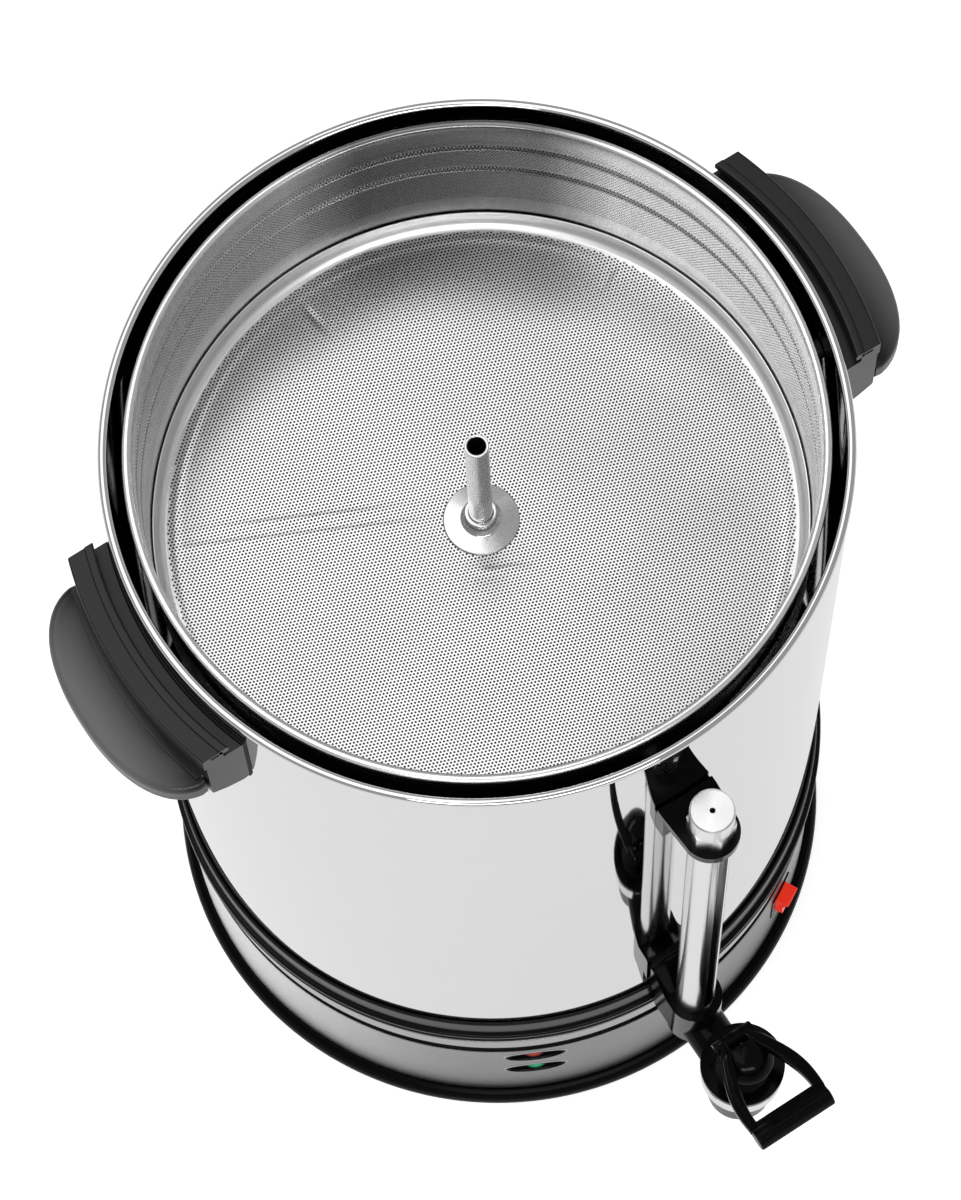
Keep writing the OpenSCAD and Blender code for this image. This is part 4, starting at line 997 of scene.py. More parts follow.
@dataclass
class Base:
    """Collar, trim ring, skirt, standing ring and what is screwed under them."""

    radius: float = 130.0
    foot: float = 9.5
    groove: float = 74.0
    trim: float = 81.0
    collar: float = 91.0
    top: float = 118.0
    rib: float = 3.8
    skirt_out: float = 2.3
    skirt_wall: float = 0.8
    foot_out: float = 7.0
    foot_in: float = 127.9
    shelf_in: float = 116.4
    shelf: tuple[float, float] = (5.2, 8.2)
    copies: tuple[CopyRow, ...] = (
        ("base_plate", "base_plate_set", "urn", "zinc_sheet", 0.2),
        ("anti_slip_pads", "anti_slip_pads_set", "urn", "pad_rubber", 0.4),
        ("tie_rods", "tie_rods_set", "urn", "zinc_rod", 0.3),
        ("tie_rod_nuts", "tie_rod_nuts_set", "urn", "screw_steel", 0.3),
        ("base_screws", "base_screws_set", "urn", "screw_steel", 0.4))

    def collar_profile(self) -> Array:
        """The ribbed collar's section."""
        r, t, p = self.radius, self.top, self.rib
        return rounded([
            [r - 3.5, t - 18], [r + 0.1, t - 18], [r + 0.1, t - 0.5], [r + 0.8, t], [r + 1.6, t - 1.2],
            [r + 2.2, t - 11], [r + 1.5, t - 12], [r + p - 0.5, t - 12.6], [r + p, t - 13.4],
            [r + p, t - 14.8], [r + p - 0.5, t - 15.6], [r + 1.7, t - 16.4], [r + p - 0.5, t - 17.2],
            [r + p, t - 18], [r + p, t - 19.4], [r + p - 0.5, t - 20.2], [r + 1.6, t - 21],
            [r + 1.6, self.collar], [r + 0.5, self.collar], [r + 0.5, self.groove],
            [r + 1.4, self.groove], [r + 1.4, self.groove - 3], [r - 3.5, self.groove - 3]], 0.45)

    def ring_profile(self) -> Array:
        """The bright trim ring's section."""
        r = self.radius
        return rounded([[r + 0.6, self.trim], [r + 2.1, self.trim], [r + 2.1, self.collar - 0.1],
                        [r + 0.6, self.collar - 0.1]], 0.5, 4)

    def skirt_profile(self) -> Array:
        """The skirt's section: a sheet with its top edge eased."""
        r = self.radius + self.skirt_out
        low, high = self.foot - 4, self.groove - 0.1
        return rounded([[r - self.skirt_wall, low], [r, low], [r, high], [r - self.skirt_wall, high]], 0.25)

    def foot_profile(self) -> Array:
        """The standing ring's section."""
        s, f = self.radius + self.skirt_out, self.radius + self.foot_out
        inner, (under, over) = s - self.skirt_wall, self.shelf
        return rounded([
            [self.foot_in, 0], [f - 1.2, 0], [f - 0.3, 1], [f, 2.2], [f, 4.5], [f - 0.6, 6.6],
            [f - 2, self.foot - 1], [s + 0.8, self.foot], [s + 0.1, self.foot], [s + 0.1, self.foot - 4.1],
            [inner - 0.1, self.foot - 4.1], [inner - 0.1, self.foot + 6], [inner - 2, self.foot + 6],
            [inner - 2, over], [self.shelf_in, over], [self.shelf_in, under], [self.foot_in, under]], 0.5)

    def build(self, openings: Sequence[Shape]) -> None:
        """Makes the base's pieces.

        Args:
            openings: cutters for the lamps, the switch and the inlet.
        """
        make("collar_band", lathe(self.collar_profile(), 288), "urn", "black_plastic", ["base_collar"])
        make("trim_band", lathe(self.ring_profile(), 288), "urn", "trim_chrome", ["trim_ring"])
        make("skirt_sheet", lathe(self.skirt_profile(), 360), "urn", "satin_skirt", ["base_skirt"],
             cutters=openings)
        make("standing_ring", lathe(self.foot_profile(), 288), "urn", "foot_plastic", ["foot_ring"])
        dress_copies(self.copies)


@dataclass
class Controls:
    """Pilot lamps, power switch, power inlet, and the openings that the skirt has for them."""

    skirt: float = 132.3
    lamp_azimuth: float = -116.0
    lamp_z: tuple[float, float] = (64.5, 44.7)
    lamp_half: tuple[float, float] = (13.0, 6.5)
    lamp_deep: float = 14.0
    bulb: float = 2.3
    switch_azimuth: float = -60.0
    switch_z: float = 50.135
    switch_size: tuple[float, float] = (15.0, 24.0)
    inlet_z: float = 41.75
    inlet_size: tuple[float, float] = (30.2, 22.2)
    copies: tuple[CopyRow, ...] = (
        ("switch_housing", "switch_frame", "urn", "black_plastic", 0.4),
        ("rocker", "rocker_key", "rocker", "red_rocker", 0.6),
        ("power_inlet", "inlet_shell", "urn", "black_plastic", 0.5),
        ("inlet_pins", "inlet_blades", "urn", "pin_brass", 0.3))

    def eye(self, rings: Sequence[tuple[float, float]], z: float, closed: bool = False) -> Shape:
        """A stack of ellipses that bend round the skirt.

        Each ring is (how far it is drawn in from the lamp's outline, how far it stands out of the
        skirt). Its point at angle t has u = a cos t and v = b sin t, and lies sqrt(skirt^2 - u^2) plus
        that distance along the lamp's axis. A closed stack is a hoop, whose last ring joins its first.
        """
        t = 2 * np.pi * np.arange(64)[None, :] / 64
        inset, out = (np.array(v)[:, None] for v in zip(*rings))
        u = (self.lamp_half[0] - inset) * np.cos(t)
        v = (self.lamp_half[1] - inset) * np.sin(t)
        x = np.sqrt(self.skirt ** 2 - u ** 2) + out
        rings = np.stack([x, u, v + z], axis=-1)
        if closed:
            hoop = Shape(rings.reshape(-1, 3), [grid_faces(len(rings), 64, True, True)])
            return hoop.outward().turned(self.lamp_azimuth)
        return stacked(rings).turned(self.lamp_azimuth)

    def bulb_rod(self, z: float) -> Shape:
        """The lamp's round-ended body behind its lens."""
        start, end = self.skirt - self.lamp_deep - 6, self.skirt - self.lamp_deep + 5
        profile = np.vstack([[[0.0, start], [self.bulb, start]], arc(0, end, self.bulb, 0, 90, 8)])
        rod = lathe(profile, 32)
        rod.points = rod.points[:, [2, 0, 1]] + np.array([0, 0, z])
        return rod.turned(self.lamp_azimuth)

    def block(self, width: float, height: float, corner: float = 1.5) -> Array:
        """A rectangle with rounded corners."""
        w, h = width / 2, height / 2
        return rounded([[-w, -h], [w, -h], [w, h], [-w, h]], corner, 5)

    def bar(self, outline: Array, azimuth: float, z: float, near: float, far: float) -> Shape:
        """A straight bar along the radius at an azimuth, from one radius to another."""
        rings = [np.column_stack([np.full(len(outline), r), outline[:, 0], outline[:, 1] + z])
                 for r in (near, far)]
        return stacked(np.array(rings)).turned(azimuth)

    def openings(self) -> list[Shape]:
        """Cutters for the skirt."""
        near, far = self.skirt - 12, self.skirt + 6
        cuts = [self.eye([(0.7, -8), (0.7, 6)], z) for z in self.lamp_z]
        cuts.append(self.bar(self.block(self.switch_size[0] - 2, self.switch_size[1] - 2, 0.8),
                             self.switch_azimuth, self.switch_z, near, far))
        cuts.append(self.bar(self.block(*self.inlet_size, 0.8), 90, self.inlet_z, near, far))
        return cuts

    def build(self) -> None:
        """Makes the controls' pieces."""
        cup = [(1.2, -self.lamp_deep), (1.2, -0.9), (0.4, 0.02), (0.4, 0.3), (0.7, 0.4), (1.1, 0.2),
               (1.6, -0.6), (1.9, -self.lamp_deep + 2)]
        lens = [(2.0, -6), (2.0, -3.4), (3.0, -2.7), (4.4, -2.3), (5.6, -2.2)]
        hoop = [(-0.25, 0.03), (-0.15, 0.15), (0.1, 0.3), (0.3, 0.25), (0.3, 0.03)]
        high, low = self.lamp_z
        # the surrounds take finishes with painted light from their lamps
        lamps = (("red", high, RED_CUP_PAINTED_GLOW), ("green", low, GREEN_CUP_PAINTED_GLOW))
        for colour, z, finish in lamps:
            make(colour + "_surround", self.eye(cup, z), "urn", "black_plastic", ["lamp_bezels"],
                 finish=finish)
        make("lamp_hoops", self.eye(hoop, high, True) + self.eye(hoop, low, True), "urn",
             "black_plastic", ["lamp_bezels"], finish=FINISHES["zinc_rod"])
        for colour, z, _ in lamps:
            make(colour + "_jewel", self.eye(lens, z) + self.bulb_rod(z), "urn", colour + "_lens",
                 [colour + "_lamp"])
        dress_copies(self.copies)


@dataclass
class Handles:
    """The two side handles with their gaskets and screws."""

    back: float = 131.0
    inner: float = 138.0
    outer: float = 145.5
    reach: float = 163.5
    half: float = 44.0
    top: float = 411.0
    pad_top: float = 405.0
    low: float = 375.0
    grip_low: float = 376.0
    grip_high: float = 389.0
    fullness: float = 0.89
    cushion: tuple[float, float] = (130.05, 130.95)
    notch_r: tuple[float, float] = (139.4, 142.6)

    def bent(self, outline: Array, half: float, steps: int = 40) -> Shape:
        """An outline of (radius, height) carried round the tank between two values of y.

        At each y a point of radius r lies at x = sqrt(r^2 - y^2).
        """
        y = np.linspace(-half, half, steps)[:, None]
        r, z = outline[None, :, 0], outline[None, :, 1]
        return stacked(np.stack([np.sqrt(r ** 2 - y ** 2), y + 0 * r, z + 0 * y], axis=-1))

    def wall(self) -> Shape:
        """The upright wall and the low pad between it and the tank, with a step on its outer side."""
        corners = [[self.back, self.low - 6], [self.inner + 1, self.low - 3.4], [self.outer - 0.8, self.low],
                   [self.outer - 0.8, self.top - 9], [self.outer, self.top - 8.2], [self.outer, self.top],
                   [self.inner, self.top], [self.inner, self.pad_top], [self.back, self.pad_top]]
        radii = np.array([3.5, 1.0, 1.0, 0.3, 0.3, 1.1, 0.8, 0.4, 0.6])
        return self.bent(rounded(corners, radii, 5), self.half)

    def rib(self) -> Shape:
        """The rib along the wall's inner edge, which hangs over the pad."""
        i = self.inner
        return self.bent(rounded([[i - 2.2, self.pad_top + 3.2], [i + 1.2, self.pad_top + 3.4],
                                  [i + 1.2, self.top + 0.75], [i - 2.2, self.top + 0.75]], 0.9, 5), self.half)

    def ledge(self) -> Shape:
        """The ledge where the grip leaves the wall."""
        o, g = self.outer, self.grip_high
        return self.bent(rounded([[o - 2, g - 2], [o + 1.9, g - 2], [o + 1.9, g + 1.3], [o - 2, g + 1.3]],
                                 0.5, 3), self.half - 3)

    def outline(self, inset: Array, n: int = 72) -> tuple[Array, Array]:
        """The grip's D-shaped plan, drawn in: x and y of a superellipse of power 2 / fullness."""
        a = np.radians(np.linspace(-84, 84, n))[None, :]
        long, deep = self.half - inset, self.reach - self.inner - inset
        x = self.inner + deep * np.cos(a) ** self.fullness
        y = long * np.sign(a) * np.abs(np.sin(a)) ** self.fullness
        flat = np.full_like(inset, self.inner + 1)
        return (np.hstack([flat, x, flat]), np.hstack([-long + 0.5, y, long - 0.5]))

    def grip(self) -> Shape:
        """The hollow grip: up out of its pocket, round its lower edge, and over its crowned top.

        The top edge is a quarter ellipse of inset 3 (1 - cos t) and rise 3 sin t, and the crown adds
        1.7 (1 - (1 - s)^2) over the next 10 mm of inset.
        """
        t = np.radians(np.linspace(0, 90, 10))
        s = np.linspace(0.12, 1, 8)
        deep = self.grip_high - self.grip_low
        inset = np.concatenate([[5.2, 4.3, 4.2, 3.9], 3.2 * (1 - np.cos(t[::-1] * 0.95)),
                                3 * (1 - np.cos(t)), 3 + 10 * s])
        rise = np.concatenate([[9.6, 9.2, 1.0, 0.1], 3.2 * (1 - np.sin(t[::-1])),
                               deep - 4.2 + 3 * np.sin(t), deep - 1.2 + 1.7 * (1 - (1 - s) ** 2)])
        x, y = self.outline(inset[:, None])
        return stacked(np.stack([x, y, np.broadcast_to(self.grip_low + rise[:, None], x.shape)], axis=-1))

    def notch(self, side: int) -> Shape:
        """The cutter for the small slot in one end of the wall."""
        near, far = self.notch_r
        box = np.array([[near, self.top - 2.6], [far, self.top - 2.6], [far, self.top - 1.0],
                        [near, self.top - 1.0]])
        middle = (near + far) / 2
        x = math.sqrt(middle ** 2 - self.half ** 2) - middle
        rings = [np.column_stack([box[:, 0] + x, np.full(4, side * y), box[:, 1]])
                 for y in (self.half - 2.5, self.half + 2)]
        return stacked(np.array(rings))

    def build(self) -> None:
        """Makes the handles' pieces."""
        for side, turn in (("right", 0), ("left", 180)):
            cuts = [self.notch(end).turned(turn) for end in (-1, 1)]
            make(f"{side}_wall", self.wall().turned(turn), "urn", "handle_plastic", [f"{side}_handle"],
                 cutters=cuts, sharp=50)
            make(f"{side}_grip", (self.rib() + self.ledge() + self.grip()).turned(turn), "urn",
                 "handle_plastic", [f"{side}_handle"], sharp=50)
        (near, far), low = self.cushion, self.low - 6.6
        section = rounded([[near, low], [far, low], [far, self.pad_top], [near, self.pad_top]], 0.2)
        pads = self.bent(section, self.half - 0.2)
        make("handle_cushions", pads + pads.turned(180), "urn", "gasket_rubber", ["handle_gaskets"])
        dress_copy("handle_screws", "handle_bolts", "urn", "screw_steel", 0.4, finish=OXIDE)


@dataclass
class Tap:
    """The lever tap."""

    pivot: tuple[float, float] = (-173.0, 148.0)
    valve: float = -180.0
    rise: float = 15.1
    plate: tuple[float, float] = (2.1, 2.5)
    leg_out: tuple[tuple[float, float], ...] = (
        (0.2, 7.6), (5.6, 9.6), (10.6, 12.3), (17.6, 15.1), (27.0, 17.2), (36.0, 17.5), (42.6, 17.0))
    leg_in: tuple[tuple[float, float], ...] = (
        (0.2, 2.0), (5.6, 4.2), (10.6, 6.5), (17.6, 9.2), (21.0, 10.5), (25.6, 11.6), (36.0, 12.9))
    bar: tuple[tuple[float, float], ...] = (
        (36.0, 2.1), (39.0, 2.0), (40.3, 2.3), (41.6, 2.9), (43.2, 2.8), (44.8, 1.3), (45.7, -1.0),
        (45.9, -2.4), (45.4, -3.7), (44.2, -5.0), (42.0, -5.4), (40.0, -5.0), (38.0, -3.8), (36.0, -2.5))
    hub: float = 9.6
    hub_bore: float = 8.0
    apron: float = 2.8
    coil_radius: float = 3.1
    coil_wire: float = 0.3
    coil_turns: int = 4
    coil_keep: float = 0.69
    copies: tuple[CopyRow, ...] = (
        ("tap_body", "tap_casting", "urn", "tap_plastic", 0.6),
        ("tap_seals", "tap_washers", "urn", "seal_silicone", 0.1),
        ("tap_nut", "tap_locknut", "urn", "screw_steel", 0.4),
        ("nozzle", "tap_spout", "urn", "tap_plastic", 0.4),
        ("bonnet_nut", "bonnet_ring", "urn", "nut_chrome", 0.3),
        ("bonnet", "bonnet_dome", "urn", "tap_plastic", 0.4),
        ("lever_pin", "lever_axle", "lever", "screw_steel", 0.2),
        ("valve_stem", "stem_rod", "stem", "screw_steel", 0.2),
        ("seal_disc", "stem_washer", "stem", "seal_silicone", 0.3))

    def laid(self, x: Array, out: Array, up: Array) -> Array:
        """Points of the lever's own plane, which is tilted about the pin: x, distance out and height."""
        a = math.radians(self.rise)
        return np.stack([x + 0 * out, self.pivot[0] - out * math.cos(a) + up * math.sin(a),
                         self.pivot[1] + out * math.sin(a) + up * math.cos(a)], axis=-1)

    def leg(self, side: int) -> Shape:
        """One leg of the stirrup.

        Its outer and inner edges are a quartic and a cubic curve of the distance out. Its section at
        each distance is a superellipse of power 4 between them, which starts at 0.4 of its size.
        """
        out = np.linspace(0.5, 38, 32)[:, None]
        outer = np.polyval(np.polyfit(*np.array(self.leg_out).T, 4), out)
        inner = np.polyval(np.polyfit(*np.array(self.leg_in).T, 3), out)
        t = 2 * np.pi * np.arange(28)[None, :] / 28
        across, up = (np.sign(f) * np.abs(f) ** 0.5 for f in (np.cos(t), np.sin(t)))
        full = np.clip(0.35 + out / 9, 0, 1)
        x = (outer + inner) / 2 + full * (outer - inner) / 2 * across
        return stacked(self.laid(side * x, out + 0 * t, self.plate[0] + full * self.plate[1] * up))

    def finger_bar(self) -> Shape:
        """The bar across the legs: its section carried along x, drawn in a little at both ends."""
        section = rounded(self.bar, 0.8, 3)
        middle = section.mean(axis=0)
        x = np.array([-16.9, -16.6, -16.2, -8, 0, 8, 16.2, 16.6, 16.9])[:, None]
        size = np.array([0.9, 0.97, 1, 1, 1, 1, 1, 0.97, 0.9])[:, None]
        out = middle[0] + size * (section[None, :, 0] - middle[0])
        up = middle[1] + size * (section[None, :, 1] - middle[1]) + self.plate[0]
        return stacked(self.laid(x, out, up))

    def dome(self) -> Shape:
        """The hollow hub, whose rim reaches further out towards the bar.

        At the angle a from the bar's side its radius is hub + apron cos(a)^0.7, and its top falls
        from the middle by 6.2 s^3 at the share s of that radius.
        """
        a = 2 * np.pi * np.arange(72)[None, :] / 72
        reach = self.hub + self.apron * np.maximum(np.cos(a), 0) ** 0.7
        s = np.linspace(1, 0.06, 16)[:, None]
        under = 0 * a + np.array([[0.6, -1.5], [self.hub_bore, -1.5], [self.hub_bore, -4.5],
                                  [self.hub - 0.4, -4.5], [self.hub, -4.1]])[:, :, None]
        r = np.vstack([under[:, 0], reach - 0.3, reach + 0.1, s * reach])
        z = np.vstack([under[:, 1], 0 * a - 0.6, 0 * a + 0.1, 6.9 - 6.2 * s ** 3 + 0 * a])
        points = np.stack([r * np.sin(a), self.valve - r * np.cos(a), z + self.pivot[1]], axis=-1)
        return stacked(points)

    def coil(self) -> Shape:
        """The return spring: a round wire carried along a helix between the ends of its node."""
        low, high = (corner.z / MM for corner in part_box("valve_spring"))
        t = np.linspace(0, 1, 32 * self.coil_turns + 1)
        a = 2 * np.pi * self.coil_turns * t
        rise = low + self.coil_wire + (high - low - 2 * self.coil_wire) * t
        path = np.column_stack([self.coil_radius * np.cos(a),
                                self.valve + self.coil_radius * np.sin(a), rise])
        return swept(path, arc(0, 0, self.coil_wire, 0, 360, 10)[:-1])

    def cheeks(self) -> Shape:
        """The two rounded cheeks on the pin."""
        ring = arc(0, 0, 3.2, 0, 360, 28)[:-1]
        both = []
        for side in (-1, 1):
            x, size = np.array([4.3, 4.5, 8.4, 8.8]), np.array([0.95, 1, 1, 0.9])
            points = np.stack([np.broadcast_to(side * x[:, None], (4, 28)),
                               self.pivot[0] + size[:, None] * ring[None, :, 0],
                               self.pivot[1] + size[:, None] * ring[None, :, 1]], axis=-1)
            both.append(stacked(points))
        return both[0] + both[1]

    def lug_gap(self) -> Shape:
        """The cutter that frees the bonnet's lug."""
        y, z = self.pivot
        box = np.array([[y - 4.3, z - 8], [y + 14, z - 8], [y + 14, z + 12], [y - 4.3, z + 12]])
        return stacked(np.array([np.column_stack([np.full(4, x), box]) for x in (-4.15, 4.15)]))

    def build(self) -> None:
        """Makes the tap's pieces."""
        dress_copies(self.copies)
        make("lever_hub", self.dome(), "lever", "tap_plastic", ["lever"], cutters=[self.lug_gap()],
             sharp=50)
        make("lever_stirrup", self.leg(1) + self.leg(-1) + self.finger_bar() + self.cheeks(), "lever",
             "tap_plastic", ["lever"], sharp=50)
        spring = make("valve_coil", self.coil(), "urn", "screw_steel", ["valve_spring"])
        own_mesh(spring)


@dataclass
class SightGauge:
    """The sight gauge: slotted shield, glass, seals, bracket, screw and cap."""

    y: float = -146.5
    shield: float = 7.7
    wall: float = 0.8
    low: float = 128.6
    high: float = 357.9
    slot_width: float = 4.4
    slot_turn: float = 10.0
    slot_low: float = 134.0
    slot_high: float = 353.0
    glass: float = 4.0
    glass_low: float = 119.7
    glass_high: float = 366.0
    copies: tuple[CopyRow, ...] = (
        ("gauge_seals", "gauge_washers", "urn", "gasket_rubber", 0.2),
        ("gauge_bracket", "gauge_holder", "urn", "tap_plastic", 0.6),
        ("bracket_screw", "holder_screw", "urn", "screw_steel", 0.3),
        ("gauge_cap", "gauge_knob", "urn", "cap_steel", 0.35))

    def slot(self) -> Shape:
        """The cutter for the reading slot: a flat bar with round ends."""
        r = self.slot_width / 2
        outline = np.vstack([arc(0, self.slot_low + r, r, 180, 360, 12),
                             arc(0, self.slot_high - r, r, 0, 180, 12)])
        rings = [np.column_stack([outline[:, 0], np.full(len(outline), y), outline[:, 1]])
                 for y in (-self.shield - 3, -2.5)]
        return stacked(np.array(rings)).turned(self.slot_turn).moved(y=self.y)

    def tube(self, r_out: float, wall: float, low: float, high: float, steps: int) -> Shape:
        """An upright tube on the gauge's axis with eased ends."""
        profile = rounded([[r_out - wall, low], [r_out, low], [r_out, high], [r_out - wall, high]], 0.25)
        return lathe(profile, steps, (0, self.y))

    def build(self) -> None:
        """Makes the gauge's pieces."""
        make("gauge_tube", self.tube(self.shield, self.wall, self.low, self.high, 96), "urn",
             "gauge_chrome", ["gauge_shield"], cutters=[self.slot()])
        make("gauge_pipe", self.tube(self.glass, 1.0, self.glass_low, self.glass_high, 64), "urn",
             "gauge_glass", ["sight_glass"])
        dress_copies(self.copies)


@dataclass
class Basket:
    """The filter basket: perforated floor and wall, plain bands, bead and sleeve.

    A dent is (azimuth, distance from the axis), and a crease is (x, y, half its length). The discs are
    (upper, lower) depths under the floor's face of the two plain discs that close its holes: the upper one is
    a near-black sheet of painted shade seen through the holes, and the lower one is painted with dark dots.
    """

    r_in: float = 118.4
    gap: float = 0.03
    sheet: float = 0.6
    rim: float = 419.0
    bead: float = 1.7
    bead_radius: float = 120.5
    floor: float = 342.0
    foot: float = 339.5
    riser_clear: float = 12.2
    shade_disc: tuple[float, float] = (0.34, 0.42)
    under_disc: tuple[float, float] = (0.52, 0.6)
    holes_from: float = 360.0
    holes_to: float = 409.5
    bands: tuple[float, ...] = (402.5, 385.0)
    pitch: float = 1.351
    hole: float = 0.46
    wall_hole: float = 0.33
    lattice_turn: float = 10.1
    holed_radius: float = 112.9
    pan_radius: float = 117.9
    seam: float = 348.6
    dents: tuple[tuple[float, float], ...] = ((94.7, 100.0), (30.7, 106.5))
    creases: tuple[tuple[float, float, float], ...] = (
        (-56.0, 30.0, 44.0), (-52.0, 35.0, 34.0), (-4.0, -20.0, 10.0))
    crease_turn: float = -26.6

    def band(self, z: Array) -> Array:
        """How far the wall stands out at height z: a smooth ridge 0.9 mm high on each band."""
        return sum(0.9 * np.exp(-((z - b) / 1.4) ** 2) for b in self.bands)

    def floor_height(self, x: Array, y: Array) -> Array:
        """The floor's height at (x, y).

        It is flat, plus a pressed ring 0.16 exp(-((r - 110.3) / 1.6)^2), a slow wave 0.2 mm high, two
        short dents along the radius and three faint creases, each a product of two bell curves.
        """
        r = np.hypot(x, y)
        z = self.floor + 0.16 * np.exp(-((r - 110.3) / 1.6) ** 2)
        z = z + 0.1 * np.sin((x + 2.2 * y) / 21) * np.sin((1.7 * x - y) / 27)
        for azimuth, middle in self.dents:
            c, s = math.cos(math.radians(azimuth)), math.sin(math.radians(azimuth))
            z = z - 0.3 * np.exp(-((x * c + y * s - middle) / 5) ** 2 - ((y * c - x * s) / 1.3) ** 2)
        c, s = math.cos(math.radians(self.crease_turn)), math.sin(math.radians(self.crease_turn))
        for mid_x, mid_y, half in self.creases:
            along = (x - mid_x) * c + (y - mid_y) * s
            z = z + 0.2 * np.exp(-(((y - mid_y) * c - (x - mid_x) * s) / 1.3) ** 2 - (along / half) ** 4)
        return z

    def floor_sheets(self) -> list[Shape]:
        """The perforated floor in two halves.

        The holes' middles are i u + j v, where u and v are as long as the pitch and 60 degrees apart.
        """
        a = math.radians(self.lattice_turn - 90)
        u = self.pitch * np.array([math.cos(a), math.sin(a)])
        v = self.pitch * np.array([math.cos(a + math.pi / 3), math.sin(a + math.pi / 3)])
        i, j = np.meshgrid(np.arange(-130, 131), np.arange(-130, 131))
        middle = i.reshape(-1, 1) * u + j.reshape(-1, 1) * v
        r = np.linalg.norm(middle, axis=1)
        middle = middle[(r < self.holed_radius + 1.3) & (r > 12.5)]
        turn = a + math.pi / 6 + np.pi / 3 * np.arange(6)
        corner = self.pitch / math.sqrt(3) * np.stack([np.cos(turn), np.sin(turn)], axis=1)
        hole = self.hole * np.stack([np.cos(turn), np.sin(turn)], axis=1)
        sheets = []
        for side in (middle[:, 0] < 0, middle[:, 0] >= 0):
            part = middle[side]
            opened = np.linalg.norm(part, axis=1) < self.holed_radius
            sheet = hex_holes(part, corner, hole, opened)
            sheet.points[:, 2] = self.floor_height(*sheet.points[:, :2].T)
            sheets.append(sheet.welded())
        return sheets

    def wall_sheets(self) -> list[Shape]:
        """The perforated wall in two halves.

        Rows of holes a pitch apart, every other row shifted by half a pitch, are wrapped round the
        axis: (u, z) goes to the angle u / r, at radius r_in plus the band's height.
        """
        count = int(round(2 * math.pi * self.r_in / self.pitch))
        step, row = 2 * math.pi / count, self.pitch * math.sqrt(3) / 2
        rows = int((self.holes_to - self.holes_from) / row)
        j = np.arange(rows + 1)
        i = np.arange(count)
        u = (i[None, :] + 0.5 * (j[:, None] % 2)) * self.pitch
        z = np.broadcast_to(self.holes_from + j[:, None] * row, u.shape)
        middle = np.stack([u.ravel(), z.ravel()], axis=1)
        p, h = self.pitch, row
        corner = np.array([[p / 2, h / 3], [0, 2 * h / 3], [-p / 2, h / 3], [-p / 2, -h / 3],
                           [0, -2 * h / 3], [p / 2, -h / 3]])
        turn = np.radians(30 + 60 * np.arange(6))
        hole = self.wall_hole * np.stack([np.cos(turn), np.sin(turn)], axis=1)
        edge = np.broadcast_to((j[:, None] > 0) & (j[:, None] < rows), u.shape).ravel()
        half = (middle[:, 0] < count * self.pitch / 2)
        sheets = []
        for side in (half, ~half):
            sheet = hex_holes(middle[side], corner, hole, edge[side])
            angle, height = sheet.points[:, 0] / self.pitch * step, sheet.points[:, 1].copy()
            r = self.r_in + self.band(height)
            sheet.points = np.stack([r * np.cos(angle), r * np.sin(angle), height], axis=1)
            sheet.faces = [f[:, ::-1] for f in sheet.faces]
            sheets.append(sheet.welded())
        return sheets

    def lining(self, out: float) -> Shape:
        """A thin sleeve that follows the wall's bands at a distance outside it."""
        z = np.linspace(self.holes_from, self.holes_to - 0.5, 60)
        r = self.r_in + out + self.band(z)
        there, back = np.column_stack([r + 0.05, z]), np.column_stack([r, z])[::-1]
        return lathe(np.vstack([there, back]), 240)

    def lower_band(self) -> Shape:
        """The wall's plain foot, from under the floor to the first holes."""
        near, far, top = self.r_in + self.gap, self.r_in + self.sheet, self.holes_from + 0.6
        return lathe(rounded([[near, self.foot], [far, self.foot], [far, top], [near, top]], 0.2), 288)

    def upper_band(self) -> Shape:
        """The wall's plain top and the bead rolled round it."""
        near, far, low = self.r_in + self.gap, self.r_in + self.sheet, self.holes_to - 0.9
        middle = self.rim - self.bead
        bead = arc(self.bead_radius, middle, self.bead, -152, 180, 30)
        return lathe(np.vstack([[[far, low]], bead, [[near, middle - 2.6], [near, low]]]), 288)

    def pan(self) -> Shape:
        """The floor's plain rim: flat, curving up to an upstand inside the wall."""
        f, p, t, h = self.floor, self.pan_radius, self.sheet, self.holed_radius
        inside = [[h + 0.2, f - 0.03], [h + 1.2, f + 0.05], [p - 2.2, f + 1.3], [p - 0.9, f + 3.6],
                  [p - t, self.seam], [p, self.seam], [p - 0.2, f + 3.3], [p - 1.5, f + 0.7],
                  [p - 3.6, f - t], [h + 0.2, f - t]]
        return lathe(rounded(inside, 1.4, 4), 288)

    def disc(self, depths: tuple[float, float]) -> Shape:
        """A thin plain disc under the holed floor, between two depths under its face."""
        near, far = self.riser_clear, self.holed_radius + 0.6
        high, low = (self.floor - depth for depth in depths)
        return lathe(np.array([[near, low], [far, low], [far, high], [near, high]]), 128)

    def sleeve(self) -> Shape:
        """The sleeve and its flange on the riser."""
        f, s = self.floor, 4.4
        return lathe(rounded([
            [s, f - 1.8], [12, f - 1.8], [12, f - 0.65], [s + 1.15, f - 0.65], [s + 1.15, f + 0.05],
            [14, f + 0.05], [13.6, f + 0.8], [s + 3, f + 1.8], [s + 1.4, f + 3.4], [s + 1.4, f + 8],
            [s, f + 8]], 0.3), 96)

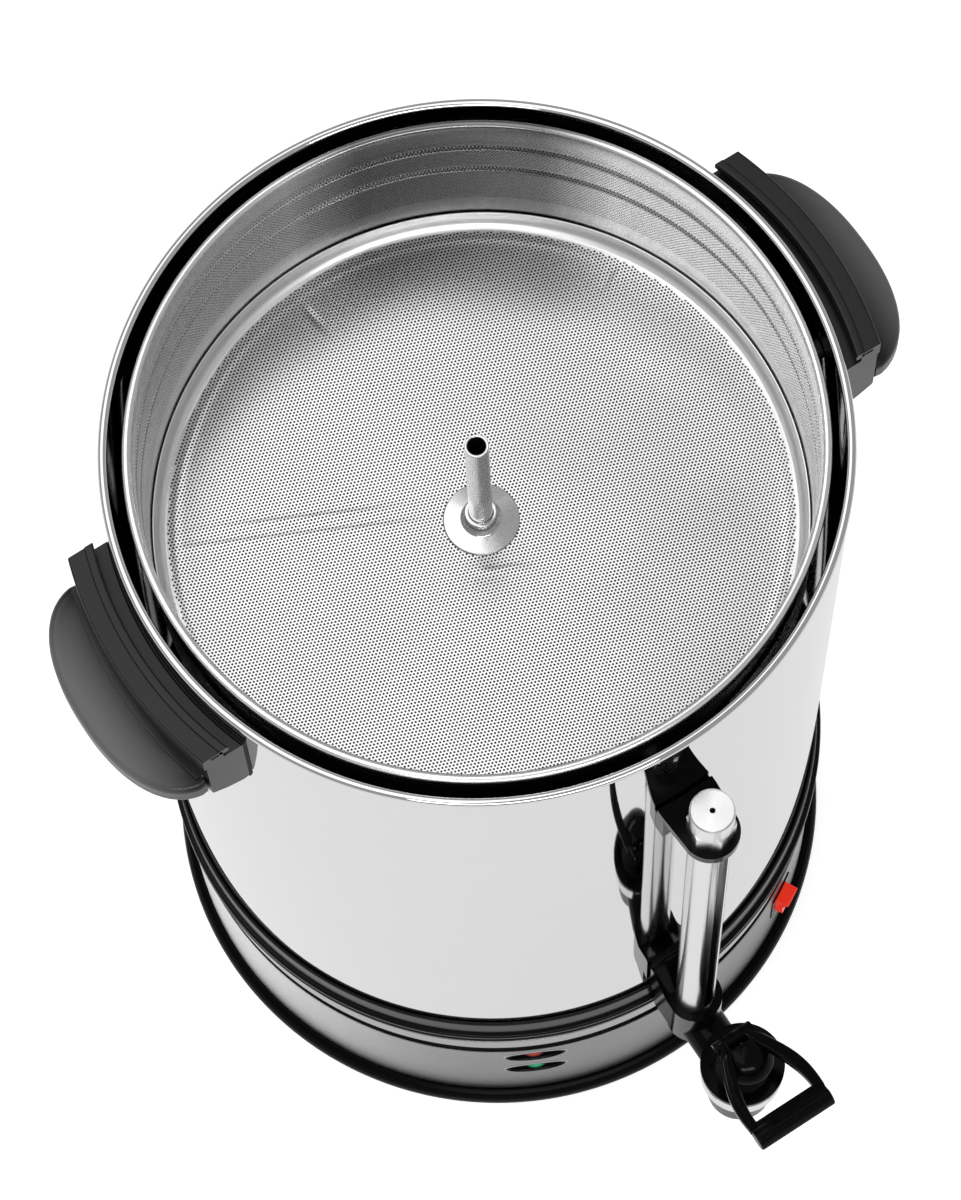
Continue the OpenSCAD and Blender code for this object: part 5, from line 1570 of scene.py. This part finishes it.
    def build(self) -> None:
        """Makes the basket's pieces."""
        floor, wall = ["basket_floor"], ["basket_wall"]
        rows = [(f"basket_sieve_{n}", sheet, floor, 60, SIEVE)
                for n, sheet in enumerate(self.floor_sheets())]
        rows += [("basket_pan", self.pan(), floor, 40, BRIGHT),
                 ("basket_dark_disc", self.disc(self.shade_disc), floor, 40, SHADE),
                 ("basket_underside", self.disc(self.under_disc), floor, 40, DOTTED_FLAT)]
        rows += [(f"basket_side_{n}", sheet, wall, 60, None) for n, sheet in enumerate(self.wall_sheets())]
        # a near-black sleeve behind the wall's holes is painted shade, and the sleeve outside it has dark
        # dots painted where holes are
        rows += [("basket_shade", self.lining(0.42), wall, 40, SHADE),
                 ("basket_outside", self.lining(0.52), wall, 40, DOTTED),
                 ("basket_foot_band", self.lower_band(), wall, 40, None),
                 ("basket_rim_band", self.upper_band(), wall, 40, None)]
        for name, shape, nodes, sharp, finish in rows:
            make(name, shape, "basket", "basket_steel", nodes, sharp=sharp, finish=finish)
        make("basket_collar", self.sleeve(), "basket", "riser_steel", ["basket_sleeve"])


@dataclass
class Riser:
    """The riser tube, its bell and the stop that carries the basket."""

    r_out: float = 4.3
    wall: float = 1.0
    top: float = 415.0
    bell_z: float = 106.3
    copies: tuple[CopyRow, ...] = (
        ("riser_bell", "riser_skirt", "riser", "riser_steel", 0.3),
        ("basket_stop", "riser_stop", "riser", "riser_steel", 0.2))

    def build(self) -> None:
        """Makes the riser's pieces."""
        tube = rounded([[self.r_out - self.wall, self.bell_z + 10], [self.r_out, self.bell_z + 10],
                        [self.r_out, self.top], [self.r_out - self.wall, self.top]], 0.3)
        make("riser_pipe", lathe(tube, 64), "riser", "riser_steel", ["riser_tube"])
        dress_copies(self.copies)


@dataclass
class Innards:
    """Heaters and electrics inside the base."""

    copies: tuple[CopyRow, ...] = (
        ("heating_element", "heater_ring", "urn", "element_sheath", 0.3),
        ("pump_heater", "heater_block", "urn", "cast_heater", 0.6),
        ("thermostat", "thermostat_disc", "urn", "ceramic_white", 0.4),
        ("thermal_fuse", "fuse_block", "urn", "ceramic_white", 0.5),
        ("terminal_block", "terminal_strip", "urn", "terminal_plastic", 0.4))

    def build(self) -> None:
        """Makes the innards' pieces."""
        dress_copies(self.copies)
        paint_node("wiring", "lead_insulation")


def main() -> None:
    """Builds the room and the urn."""
    logging.basicConfig(level=logging.INFO, format="%(message)s")
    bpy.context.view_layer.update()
    Studio().build()
    controls = Controls()
    Tank().build()
    Base().build(controls.openings())
    for part in (controls, Handles(), Tap(), SightGauge(), Basket(), Riser(), Innards()):
        part.build()
    bpy.context.view_layer.update()


if __name__ == "__main__":
    main()
